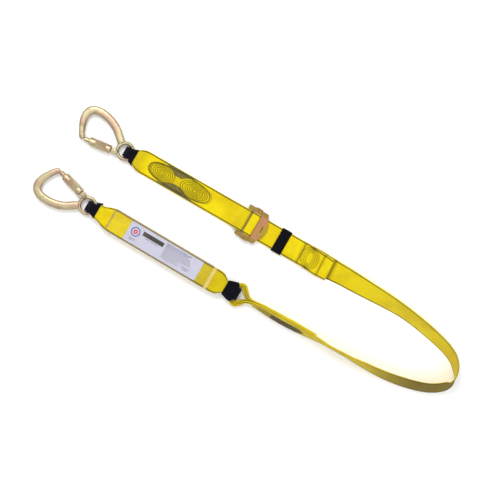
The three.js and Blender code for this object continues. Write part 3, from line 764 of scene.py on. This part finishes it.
def stitches(name, runs, look, body, pitch=2.9, reach=0.8, radius=0.32, replaces=()):
    """Rows of thread: each run is a list of (point, normal), and each stitch a small bent bar along it."""
    verts, faces = [], []
    sides = 6
    for run in runs:
        lengths = [0.0]
        for (a, _), (b, _) in zip(run, run[1:]):
            lengths.append(lengths[-1] + (b - a).length)
        total = lengths[-1]
        count = max(1, round(total / pitch))

        def along(d):
            d = max(0.0, min(total, d))
            past = next((k for k in range(1, len(lengths)) if lengths[k] >= d), 1)
            i = max(0, min(len(run) - 2, past - 1))
            w = (d - lengths[i]) / max(lengths[i + 1] - lengths[i], 1e-9)
            return run[i][0].lerp(run[i + 1][0], w), run[i][1].lerp(run[i + 1][1], w).normalized()

        for k in range(count):
            start = k * total / count
            first = len(verts)
            span = total / count * reach
            for t, fat, lift in STITCH:
                p, n = along(start + span * t)
                ahead, _ = along(start + span * min(t + 0.1, 1.0))
                behind, _ = along(start + span * max(t - 0.1, 0.0))
                side = n.cross(ahead - behind).normalized()
                for c, s in circle(sides):
                    out = n * (radius * fat * s + lift * radius * 2)
                    verts.append(p + side * radius * fat * c + out)
            for r in range(len(STITCH) - 1):
                a, b = first + r * sides, first + (r + 1) * sides
                faces += [(a + j, a + (j + 1) % sides, b + (j + 1) % sides, b + j) for j in range(sides)]
            faces.append(tuple(first + j for j in range(sides)))
            faces.append(tuple(first + (len(STITCH) - 1) * sides + j for j in range(sides)))
    piece(name, verts, faces, look, body, replaces=replaces, slot="grey_thread")


def ellipse(cx, cy, a, b, count=72, power=2.0):
    out = []
    for i in range(count + 1):
        t = 2 * pi * i / count
        c, s = cos(t), sin(t)
        out.append((cx + a * signed_power(c, 2 / power), cy + b * signed_power(s, 2 / power)))
    return out


STRAP_LOW = 1.35
STRAP_HIGH = STRAP_LOW + PLY
STRAP_TOP = STRAP_HIGH + THICK / 2


def make_short_strap_stitching():
    up = Vector((0, 0, 1))
    rows = [ellipse(119, 0, 67 - 3.1 * k, 18.2 - 1.3 * k, 110, 2.6) for k in range(2)]
    for centre, half in ((80.0, 27.0), (152.0, 31.0)):
        rows += [ellipse(centre, 0, half - half / 6.2 * k, 15.8 - 2.7 * k) for k in range(6)]
    bands = []
    for side, start, stop in ((-1, 66.0, 162.0), (1, 72.0, 144.0)):
        for k in range(10):
            middle = 114 - 3 * side
            half = (stop - start) / 2 * (1 - (k / 10.5) ** 0.6 * 0.85)
            y = side * (19.9 - 1.3 * k)
            bands.append([(middle - half + i * half / 12, y) for i in range(25)])
    lift = STRAP_TOP - 0.12

    def laid(flat):
        return [[(Vector((x, y, lift)), up) for x, y in row] for row in flat]

    stitches(
        "short_strap_ring_stitches", laid(rows), "olive_thread", "short_strap_set", radius=0.66,
        replaces=["short_strap_stitching"],
    )
    stitches(
        "short_strap_side_stitches", laid(bands), "thread", "short_strap_set",
        pitch=2.4, reach=0.9, radius=0.5,
    )


def route_runs(rows, plies, returning=False, sign=1):
    """Rows given as (x, distance from the middle of the width) laid on a face of the long webbing."""
    runs = []
    for row in rows:
        run = []
        for x, s in row:
            t = route_at(x, returning)
            edge, side, face = route_frame(t)
            shift = 0.0 if returning else tail_shift(x)
            depth = plies * PLY + sign * (THICK / 2 - 0.1)
            run.append((edge + side * (WIDTH / 2 + shift + s) + face * depth, face * sign))
        runs.append(run)
    return runs


def make_long_webbing_stitching():
    rings = [ellipse(404, 0, 17.8 - 3.8 * k, 19.4 - 2.6 * k, 56, 2.3) for k in range(4)]
    stitches(
        "tail_stop_ring_stitches", route_runs(rings, 3), "olive_thread", ROOT, radius=0.62,
        replaces=["tail_stop_stitching"],
    )
    rows = []
    for k in range(8):
        s = 2.5 - k * 3.0
        half = 52 * (1 - ((s + 8) / 17) ** 2) ** 0.5
        places = [412 - half + i * half / 11 for i in range(23)]
        rows.append([(x, s) for x in places if x > SEWN_FROM])
    runs = route_runs(rows, 0, True, -1)
    stitches(
        "sewn_loop_stitches", runs, "thread", ROOT, pitch=3.4, reach=0.9, radius=0.6,
        replaces=["sewn_loop_stitching"],
    )
    runs = route_runs(rows, 1, True, 1)
    stitches("sewn_loop_inner_stitches", runs, "olive_thread", ROOT, pitch=3.2)


make_short_strap_stitching()
make_long_webbing_stitching()

# ---------- short strap ----------


def make_short_strap():
    bar = [
        (*arc(BAR_AT.x, BAR_AT.z, 5.5, a), WIDTH)
        for a in range(90, -91, -30)
    ]
    flat = [60, 80, 100, 120, 140, 160, 180, 200, 225]
    points = [
        *from_wire(EYE_LOOP), *from_wire([(13, 15.5, 37), (20, 9, 43), (28, STRAP_HIGH + 0.4, WIDTH)]),
        *[(x, STRAP_HIGH, WIDTH) for x in flat], (240, 7.6, WIDTH), (251, 13.2, WIDTH), *bar,
        (251, 2.4, WIDTH), (240, STRAP_LOW, WIDTH), *[(x, STRAP_LOW, WIDTH) for x in flat[::-1]],
        *from_wire([(28, STRAP_LOW, WIDTH), (19, 1.5, 41)]),
    ]

    def dents(u, here, upper):
        x, z = here["at"].x, here["at"].z
        if not upper or z < STRAP_HIGH - 1 or not 48 < x < 186:
            return 0.0
        near = hypot((x - 119) / 68, u / 0.9)
        return -0.3 * max(0.0, 1 - max(0.0, near - 0.9) / 0.15)

    # Painted shade over the strap's turn round the fixed bar, and a painted dark line in the crease where it
    # turns under the bar; the sewn oval is a little darker too.
    def darken_by(u, here, upper):
        x = here["at"].x
        sewn = 0.16 * smooth_step(1.0, 0.85, hypot((x - 119) / 68, u / 0.9))
        return 0.14 * smooth_step(244, 250, x) + 0.5 * line_at(x, 264.5, 2.5) + sewn

    webbing(
        "short_strap_webbing", in_profile(curve_points(points, 5, True)), "webbing", "short_strap_set",
        closed=True, shape=dents, darken_by=darken_by, replaces=["short_strap"],
    )
    tube("short_strap_sleeve", eye_loop(-3.2), "short_strap_set", "short_strap_wear_sleeve")


make_short_strap()

# ---------- absorber ----------

ABSORBER_AXIS = Vector(JOINTS["absorber_lift"]["axis"])
LINK = {"x": 322.5, "height": 10.6, "grip": 8.2}
_along = ABSORBER_AXIS.cross(Vector((0, 0, 1)))
_link = Vector(JOINTS["absorber_lift"]["pos_m"])
_reach = (_along * LINK["x"] + Vector((0, 0, LINK["height"]))) * MM
ABSORBER = axes_from(_along, (0, 0, 1), _link - _reach)
LEG = {"low": 2.2, "high": 19.4}
COVER = {"left": 51.5, "right": 275.0, "bottom": 0.15, "top": 22.1, "half": 23.4}


def rear_loop_points():
    bend = [(-90, 38), (-60, 27), (-30, 23.5), (0, 23), (30, 23.5), (60, 24), (90, 36)]
    round_ = [
        (*arc(0, LINK["height"], LINK["grip"], a), w)
        for a, w in bend
    ]

    def leg(z):
        return [(-20, z, 26), (-14, z, 31), (-7, z, 35)]

    low, high = LINK["height"] - LINK["grip"], LINK["height"] + LINK["grip"]
    return [(x + LINK["x"], z, w) for x, z, w in [*leg(low), *round_, *leg(high)[::-1]]]


def make_absorber():
    # Darker from x 236 towards the rear loop's end.
    def darker_rearward(u, here, upper):
        return 0.24 * smooth_step(236, 246, here["at"].x)

    facts = {"matrix": ABSORBER}
    front = [
        (150, LEG["low"], WIDTH), (105, LEG["low"], WIDTH),
        *from_wire([(38, LEG["low"], WIDTH), (26, LEG["low"], 39), (17, LEG["low"], 31)]),
        *from_wire(EYE_LOOP),
        *from_wire([(17, LEG["high"], 31), (26, LEG["high"], 39), (38, LEG["high"], WIDTH)]),
        (105, LEG["high"], WIDTH), (150, LEG["high"], WIDTH),
    ]
    webbing(
        "front_loop_webbing", in_profile(curve_points(front, 5)), "webbing", "absorber",
        replaces=["absorber_front_loop"], **facts,
    )
    shoulder = [(LINK["x"] - 39, WIDTH), (LINK["x"] - 31, 41), (LINK["x"] - 26, 33)]
    flat = [(158, WIDTH), (215, WIDTH), (262, WIDTH)]
    leg = [*flat, *shoulder]
    rear = [
        *[(x, LEG["low"], width) for x, width in leg], *rear_loop_points(),
        *[(x, LEG["high"], width) for x, width in leg[::-1]],
    ]
    webbing(
        "rear_loop_webbing", in_profile(curve_points(rear, 5)), "webbing", "absorber", darken_by=darker_rearward,
        replaces=["absorber_rear_loop"], **facts,
    )
    tube("front_loop_sleeve", eye_loop(3.2), "absorber", "absorber_front_wear_sleeve", ABSORBER)
    bend = in_profile(curve_points(rear_loop_points(), 6))
    tube("rear_loop_sleeve", bend, "absorber", "absorber_rear_wear_sleeve", ABSORBER)


PACK = {"left": 66.0, "right": 258.0, "layers": 5, "bottom": 5.1, "pitch": 2.8, "width": 43.5}


def make_tear_pack():
    """The folded strip: layers to and fro, with soft creases and slightly uneven folds."""
    rng = random.Random(4)
    points = []
    bend = PACK["pitch"] / 2
    for layer in range(PACK["layers"]):
        z = PACK["bottom"] + layer * PACK["pitch"]
        start, stop = (PACK["right"], PACK["left"]) if layer % 2 == 0 else (PACK["left"], PACK["right"])
        inward = -1 if layer % 2 == 0 else 1
        first = start if layer == 0 else start + inward * (bend + 1.2)
        last = stop if layer == PACK["layers"] - 1 else stop - inward * (bend + 1.2 + rng.random())
        for i in range(17):
            points.append((first + (last - first) * i / 16, z, PACK["width"] - rng.random() * 0.4))
        if layer < PACK["layers"] - 1:
            for a in (-50, 0, 50):
                a = radians(a)
                x = last + inward * bend * cos(a)
                points.append((x, z + bend + bend * sin(a), PACK["width"]))
    webbing(
        "tear_strip", in_profile(points), "tear", "absorber", matrix=ABSORBER,
        replaces=["tear_webbing_pack"],
    )


def make_cover():
    """Clear film round the pack: soft corners, gathered shoulders, and soft creases over its upper half."""
    count, around = 64, 72
    xs = [COVER["left"] + (COVER["right"] - COVER["left"]) * i / count for i in range(count + 1)]

    def ring(x, inset):
        points = []
        high, low = COVER["top"] - inset, COVER["bottom"] + inset
        drawn = 0.7 * exp(-(x - COVER["left"]) / 3) + 0.5 * exp(-(COVER["right"] - x) / 3)
        half = COVER["half"] - inset - drawn
        for j in range(around):
            a = 2 * pi * (j + 0.5) / around
            c, s = cos(a), sin(a)
            y = half * signed_power(c, 0.16)
            z = (high + low) / 2 + (high - low) / 2 * signed_power(s, 0.16)
            z += noise.noise(Vector((x * 0.09, y * 0.28, z * 0.3))) * 0.35 if s > 0 else 0.0
            points.append((x, y, min(z, COVER["top"] + 0.3)))
        return points

    rings = [ring(x, 0.0) for x in xs] + [ring(x, 0.25) for x in xs[::-1]]
    verts = [p for r in rings for p in r]
    uv = [(y * MM, x * MM) for x, y, _ in verts]
    piece(
        "clear_sleeve_film", verts, skin(rings, True), "film", "absorber", uv, ABSORBER,
        replaces=["absorber_clear_cover"], slot="clear_film",
    )


LABEL = {"left": 89.5, "right": 246.0, "half": 19.6, "z": 21.15, "mark": (105, 4), "text": 168.0}
INK = 0.05


def plate(x0, x1, y0, y1, z, thick, corner):
    """Vertices and faces of a thin plate with rounded corners."""
    outline = []
    corner = min(corner, (x1 - x0) / 2.01, (y1 - y0) / 2.01)
    for cx, cy, a0 in ((x1 - corner, y1 - corner, 0), (x0 + corner, y1 - corner, 90),
                       (x0 + corner, y0 + corner, 180), (x1 - corner, y0 + corner, 270)):
        for k in range(4):
            a = radians(a0 + 30 * k)
            outline.append((cx + corner * cos(a), cy + corner * sin(a)))
    n = len(outline)
    verts = [(x, y, z) for x, y in outline] + [(x, y, z + thick) for x, y in outline]
    faces = [tuple(range(n))[::-1], tuple(range(n, 2 * n))]
    faces += [(j, (j + 1) % n, n + (j + 1) % n, n + j) for j in range(n)]
    return verts, faces


def disc(cx, cy, outer, inner, z, thick, count=40):
    rings = []
    for radius, height in ((outer, z), (outer, z + thick), (inner, z + thick), (inner, z)):
        rings.append([(cx + radius * c, cy + radius * s, height) for c, s in circle(count)])
    return [p for r in rings for p in r], skin(rings, True)


def merged(shapes):
    verts, faces = [], []
    for more, sides in shapes:
        faces += [tuple(i + len(verts) for i in side) for side in sides]
        verts += more
    return verts, faces


def make_label():
    facts = {"matrix": ABSORBER, "slot": "printed_label", "smooth": False}
    base = plate(LABEL["left"], LABEL["right"], -LABEL["half"], LABEL["half"], LABEL["z"], 0.14, 2.5)
    piece("label_sheet", *base, "label", "absorber", replaces=["absorber_label"], **facts)
    top = LABEL["z"] + 0.15
    piece("label_block", *plate(119, 163.5, 4.5, 13, top, INK, 0.6), "ink", "absorber", **facts)
    piece("label_ring", *disc(*LABEL["mark"], 9.2, 7.2, top, INK), "blue_ink", "absorber", **facts)
    piece("label_spot", *disc(*LABEL["mark"], 4.4, 1.6, top, INK), "red_ink", "absorber", **facts)
    rng = random.Random(9)
    bars = []
    for k in range(9):
        y = 14.0 - k * 3.3
        x = LABEL["text"]
        end = LABEL["text"] + (46 if k < 6 else 30) + rng.random() * 12
        while x < end:
            width = 4 + rng.random() * 9
            tall = 1.7 if k < 2 else 1.15
            bars.append(plate(x, min(x + width, end + 2), y, y + tall, top, INK, 0.3))
            x += width + 1.6
    for k in range(2):
        bars.append(plate(212 + 2 * k, 228 - 3 * k, -9 - 3.6 * k, -7.7 - 3.6 * k, top, INK, 0.3))
        bars.append(plate(99, 111 - 2 * k, -10.5 - 3 * k, -9.5 - 3 * k, top, INK, 0.3))
    bars.append(plate(127, 155, 1.2, 2.2, top, INK, 0.3))
    piece("label_lines", *merged(bars), "grey_ink", "absorber", **facts)


make_absorber()
make_tear_pack()
make_cover()
make_label()

# ---------- keeper ----------


def make_keeper():
    half, low, high = WIDTH / 2 + 0.9, 1.3 - GAP, 1.3 + THICK + PLY + GAP
    wall, length = 1.1, 20.4
    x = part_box("elastic_keeper")[0].x / MM - SHIFT.x / MM
    outline = []
    for cy, cz, a0 in ((half - 1.2, high - 1.2, 0), (-half + 1.2, high - 1.2, 90),
                       (-half + 1.2, low + 1.2, 180), (half - 1.2, low + 1.2, 270)):
        outline += [(cy, cz, radians(a0 + 22.5 * k)) for k in range(5)]
    dense = []
    for (y0, z0, a0), (y1, z1, a1) in zip(outline, outline[1:] + outline[:1]):
        steps = 14 if abs(y1 - y0) > 5 else 1
        dense += [(y0 + (y1 - y0) * i / steps, z0 + (z1 - z0) * i / steps, a0) for i in range(steps)]
    around = len(dense)
    rings, marks = [], []
    for i in range(2):
        for j in range(17):
            t = j / 16 if i == 0 else 1 - j / 16
            rim = 1.2 + (wall if i == 0 else 0.0) - (0.25 if i == 0 and t in (0, 1) else 0.0)
            ribs = 0.09 * cos(t * 16 * pi) if i == 0 else 0.0
            out = rim + ribs
            here = x + length * t
            rings.append([(here, y + out * cos(a), z + out * sin(a)) for y, z, a in dense])
            marks += [((t - 0.5) * length * MM, k * 0.0022) for k in range(around)]
    verts = [p for r in rings for p in r]
    piece(
        "elastic_band", verts, skin(rings, True), "elastic", "keeper", marks,
        replaces=["elastic_keeper"], slot="black_sleeve",
    )


make_keeper()

# ---------- forged hooks ----------

GATE = {"x": 14.5, "y": -14.7, "angle": -22.0}
HOOK = [
    (15.5, 6.5, 7), (24, 10.6, 7.8), (31, 14.3, 7.8), (40, 18.3, 7.8), (50, 21, 7.8), (62, 22.4, 7.8),
    (74, 22, 7.8), (85, 19.8, 7.8), (94.5, 15.2, 7.8), (100.6, 8, 7.8), (101.6, -1, 7.8), (99, -10.5, 7.3),
    (94.4, -18.6, 6.7), (88.6, -26.6, 6), (83, -33, 5.5), (78.6, -37, 5.4), (74.6, -39.6, 5.3),
]
EYE = {"radius": 15.3, "wire": 3.4}
STOCK_HALF_HEIGHT = 5.6


def gate_matrix(name):
    joint = JOINTS[f"{name}_gate_opening"]
    return axes_from(JOINTS[f"{name}_collar_slide"]["axis"], joint["axis"], Vector(joint["pos_m"]))


def hook_matrix(name):
    turn = Matrix.Rotation(radians(-GATE["angle"]), 4, "Z")
    return gate_matrix(name) @ (turn @ Matrix.Translation((-GATE["x"], -GATE["y"], 0)))


def hook_shell(sides=36):
    rings = []
    fine = curve_points(HOOK, 8)
    for i, (x, y, half) in enumerate(fine):
        a, b = fine[max(i - 1, 0)], fine[min(i + 1, len(fine) - 1)]
        along = Vector((b[0] - a[0], b[1] - a[1], 0)).normalized()
        across = Vector((-along.y, along.x, 0))
        ring = []
        height = min(STOCK_HALF_HEIGHT, half)
        for c, s in circle(sides):
            point = Vector((x, y, 0)) + across * half * signed_power(c, 0.7)
            ring.append(point + Vector((0, 0, height * signed_power(s, 0.62))))
        rings.append(ring)
    verts = [p for r in rings for p in r]
    faces = skin(rings, False)
    faces += [tuple(range(sides)), tuple(range(len(verts) - sides, len(verts)))]
    return verts, faces


def torus_shell(radius, wire, around=72, sides=20):
    rings = []
    for ca, sa in circle(around):
        tube_ring = [(radius + wire * c, wire * s) for c, s in circle(sides)]
        rings.append([(out * ca, out * sa, z) for out, z in tube_ring])
    return [p for r in rings for p in r], skin(rings, True)


def post_shell(x, y, radius, low, high, sides=32):
    ring = [(x + radius * c, y + radius * s) for c, s in circle(sides)]
    verts = [(px, py, low) for px, py in ring] + [(px, py, high) for px, py in ring]
    faces = [(j, (j + 1) % sides, sides + (j + 1) % sides, sides + j) for j in range(sides)]
    return verts, [*faces, tuple(range(sides)), tuple(range(sides, 2 * sides))]


def box_shell(x, y, z):
    verts = [(a, b, c) for c in z for b in y for a in x]
    return verts, [(0, 2, 3, 1), (4, 5, 7, 6), (0, 1, 5, 4), (2, 6, 7, 3), (0, 4, 6, 2), (1, 3, 7, 5)]


def scratch(name, shell):
    """A helper mesh in millimetres, which a boolean or remesh uses up."""
    verts, faces = shell
    mesh = bpy.data.meshes.new(name)
    mesh.from_pydata([tuple(v) for v in verts], [], faces)
    made = add(name, mesh)
    outward(mesh)
    return made


def settle(thing):
    """Applies a helper's modifiers to its mesh."""
    depsgraph = bpy.context.evaluated_depsgraph_get()
    mesh = bpy.data.meshes.new_from_object(thing.evaluated_get(depsgraph))
    thing.modifiers.clear()
    thing.data = mesh


def carve(thing, shells):
    for shell in shells:
        cutter = scratch("cutter", shell)
        boolean = thing.modifiers.new("carve", "BOOLEAN")
        boolean.operation, boolean.solver, boolean.object = "DIFFERENCE", "EXACT", cutter
        settle(thing)
        bpy.data.objects.remove(cutter)
    return thing


def on_gate(shell):
    turn = Matrix.Rotation(radians(GATE["angle"]), 4, "Z")
    turn = Matrix.Translation((GATE["x"], GATE["y"], 0)) @ turn
    return [tuple(turn @ Vector(v)) for v in shell[0]], shell[1]


def forged_hook():
    """One hook in its own millimetres: the shells are fused, then eased, then its slots are milled."""
    post = post_shell(GATE["x"], GATE["y"], 6, -6, 6)
    thing = scratch("hook", merged([hook_shell(), torus_shell(EYE["radius"], EYE["wire"]), post]))
    remesh = thing.modifiers.new("fuse", "REMESH")
    remesh.mode, remesh.voxel_size, remesh.use_smooth_shade = "VOXEL", 0.55, True
    ease = thing.modifiers.new("ease", "SMOOTH")
    ease.factor, ease.iterations = 0.5, 6
    settle(thing)
    radius = 6.0
    cutters = [
        on_gate(box_shell((0, 13), (-radius - 1, radius + 4), (-4.6, 2.3))),
        post_shell(GATE["x"], GATE["y"], 3.8, -4.6, 2.3),
        on_gate(box_shell((56.1, 69.9), (-6, 22), (-2, 2))),
        on_gate(box_shell((65.6, 69.9), (-6, 22), (-3.4, 3.4))),
        box_shell((88.7, 94.7), (-3, 8), (-2.2, 2.2)),
    ]
    return carve(thing, cutters)


def lathe(profile, sides):
    """A turned shell along X from (position, radius) points of a closed profile."""
    rings = [[(x, r * c, r * s) for c, s in circle(sides)] for x, r in profile]
    return [p for r in rings for p in r], skin(rings, True)


def lock_sleeve():
    start, end, outer, bore, groove = 7.4, 50.0, 8.5, 6.6, 7.6
    profile = [
        (start, bore + 0.2), (start + 0.1, outer - 1.1), (start + 0.5, outer - 0.4), (start + 1.2, outer),
    ]
    for x in (12, 15, 40, 43):
        profile += [(x - 0.8, outer), (x - 0.45, outer - 0.45), (x + 0.45, outer - 0.45), (x + 0.8, outer)]
    profile += [(end - 1.2, outer), (end - 0.4, outer - 0.4), (end, outer - 1.1), (end, bore + 0.2)]
    profile += [(end - 0.3, bore), (19.7, bore), (19.7, groove), (17.1, groove), (17.1, bore)]
    profile.append((start + 0.3, bore))
    verts, faces = lathe(profile, 96)
    uv = [(atan2(z, y) * outer * MM, x * MM) for x, y, z in verts]
    return verts, faces, uv


def coil_points(start, end, radius, turns, steps=28):
    count = int(turns * steps)
    points = []
    for i in range(count + 1):
        a = 2 * pi * i / steps
        points.append((start + (end - start) * i / count, radius * cos(a), radius * sin(a)))
    return points


def wire_shell(points, radius, sides=10):
    rings = []
    for i, p in enumerate(points):
        a, b = Vector(points[max(i - 1, 0)]), Vector(points[min(i + 1, len(points) - 1)])
        along = (b - a).normalized()
        out = Vector((0, p[1], p[2])).normalized()
        other = along.cross(out).normalized()
        rings.append([Vector(p) + out * radius * c + other * radius * s for c, s in circle(sides)])
    verts = [tuple(v) for r in rings for v in r]
    ends = [tuple(range(sides)), tuple(range(len(verts) - sides, len(verts)))]
    return verts, [*skin(rings, False), *ends]


# CAD nodes of a connector that are kept: name, look, edge easing in metres.
KEPT = [
    ("gate_arm", "gold", 0.0003), ("hinge_rivet", "gold", 0.0002), ("lock_collar", "steel", 0.0002),
    ("guide_pin", "steel", 0.0002), ("gate_spring", "steel", 0.0),
]


def make_hooks():
    model = forged_hook()
    for name in ("upper", "lower"):
        mesh = model.data.copy()
        mesh.transform(hook_matrix(name))
        mesh.materials.clear()
        mesh.materials.append(LOOKS["gold"])
        made = add(f"{name}_forged_hook", mesh)
        smooth_by_angle(made, 38)
        finish_piece(made, f"{name}_connector", [f"{name}_connector_body"])
        on = gate_matrix(name)
        verts, faces, uv = lock_sleeve()
        sleeve = piece(
            f"{name}_twist_sleeve", verts, faces, "grip", f"{name}_lock", uv, on,
            replaces=[f"{name}_lock_sleeve"], slot="connector_gold",
        )
        smooth_by_angle(sleeve, 30)
        spring = wire_shell(coil_points(24.9, 45.6, 5.5, 4), 0.55)
        piece(f"{name}_return_coil", *spring, "steel", f"{name}_gate", matrix=on,
              replaces=[f"{name}_sleeve_spring"], slot="spring_steel")
        for kept, look, bevel in KEPT:
            keep_node(f"{name}_{kept}", look, bevel)
    bpy.data.objects.remove(model)


def smooth_by_angle(thing, degrees):
    limit = radians(degrees)
    shape = bmesh.new()
    shape.from_mesh(thing.data)
    for face in shape.faces:
        face.smooth = True
    for edge in shape.edges:
        if len(edge.link_faces) == 2:
            edge.smooth = edge.calc_face_angle() < limit
    shape.to_mesh(thing.data)
    shape.free()


make_hooks()
keep_node("adjuster_frame", "copper", 0.0006)
keep_node("adjuster_sliding_bar", "copper", 0.0005)

# ---------- floor and light ----------


FLOOR, FLOOR_Z = 6, -0.0002


def make_stage():
    look = Look("floor_paper", Base_Color=(0.94, 0.94, 0.94, 1), Roughness=0.9, Emission_Strength=0.07)
    look.shader.inputs["Emission Color"].default_value = (1, 1, 1, 1)
    look.bump(look.noise(60.0), 0.0002)
    mesh = bpy.data.meshes.new("floor")
    corners = ((-FLOOR, -FLOOR), (FLOOR, -FLOOR), (FLOOR, FLOOR), (-FLOOR, FLOOR))
    mesh.from_pydata([(x, y, FLOOR_Z) for x, y in corners], [], [(0, 1, 2, 3)])
    mesh.materials.append(look.material)
    add("floor", mesh)


def area_light(name, location, size, power):
    """A round soft light that faces the origin."""
    data = bpy.data.lights.new(name, "AREA")
    data.shape, data.size, data.energy = "DISK", size, power
    light = add(name, data)
    light.location = location
    light.rotation_euler = (-Vector(location)).to_track_quat("-Z", "Y").to_euler()


def make_light():
    world = bpy.data.worlds.new("studio")
    bpy.context.scene.world = world
    world.use_nodes = True
    tree = world.node_tree
    coordinate = tree.nodes.new("ShaderNodeTexCoord")
    split = tree.nodes.new("ShaderNodeSeparateXYZ")
    ramp = tree.nodes.new("ShaderNodeMapRange")
    ramp.inputs["From Min"].default_value, ramp.inputs["From Max"].default_value = -0.1, 0.75
    ramp.inputs["To Min"].default_value, ramp.inputs["To Max"].default_value = 0.25, 1.0
    tree.links.new(coordinate.outputs["Generated"], split.inputs[0])
    tree.links.new(split.outputs[2], ramp.inputs[0])
    tree.links.new(ramp.outputs[0], tree.nodes["Background"].inputs["Strength"])
    tree.nodes["Background"].inputs["Color"].default_value = (1, 1, 1, 1)
    area_light("key", (-0.9, 0.9, 1.9), 0.9, 26)
    area_light("fill", (1.1, -0.8, 1.9), 1.4, 8)
    bpy.context.scene.view_settings.view_transform = "Standard"


make_stage()
make_light()
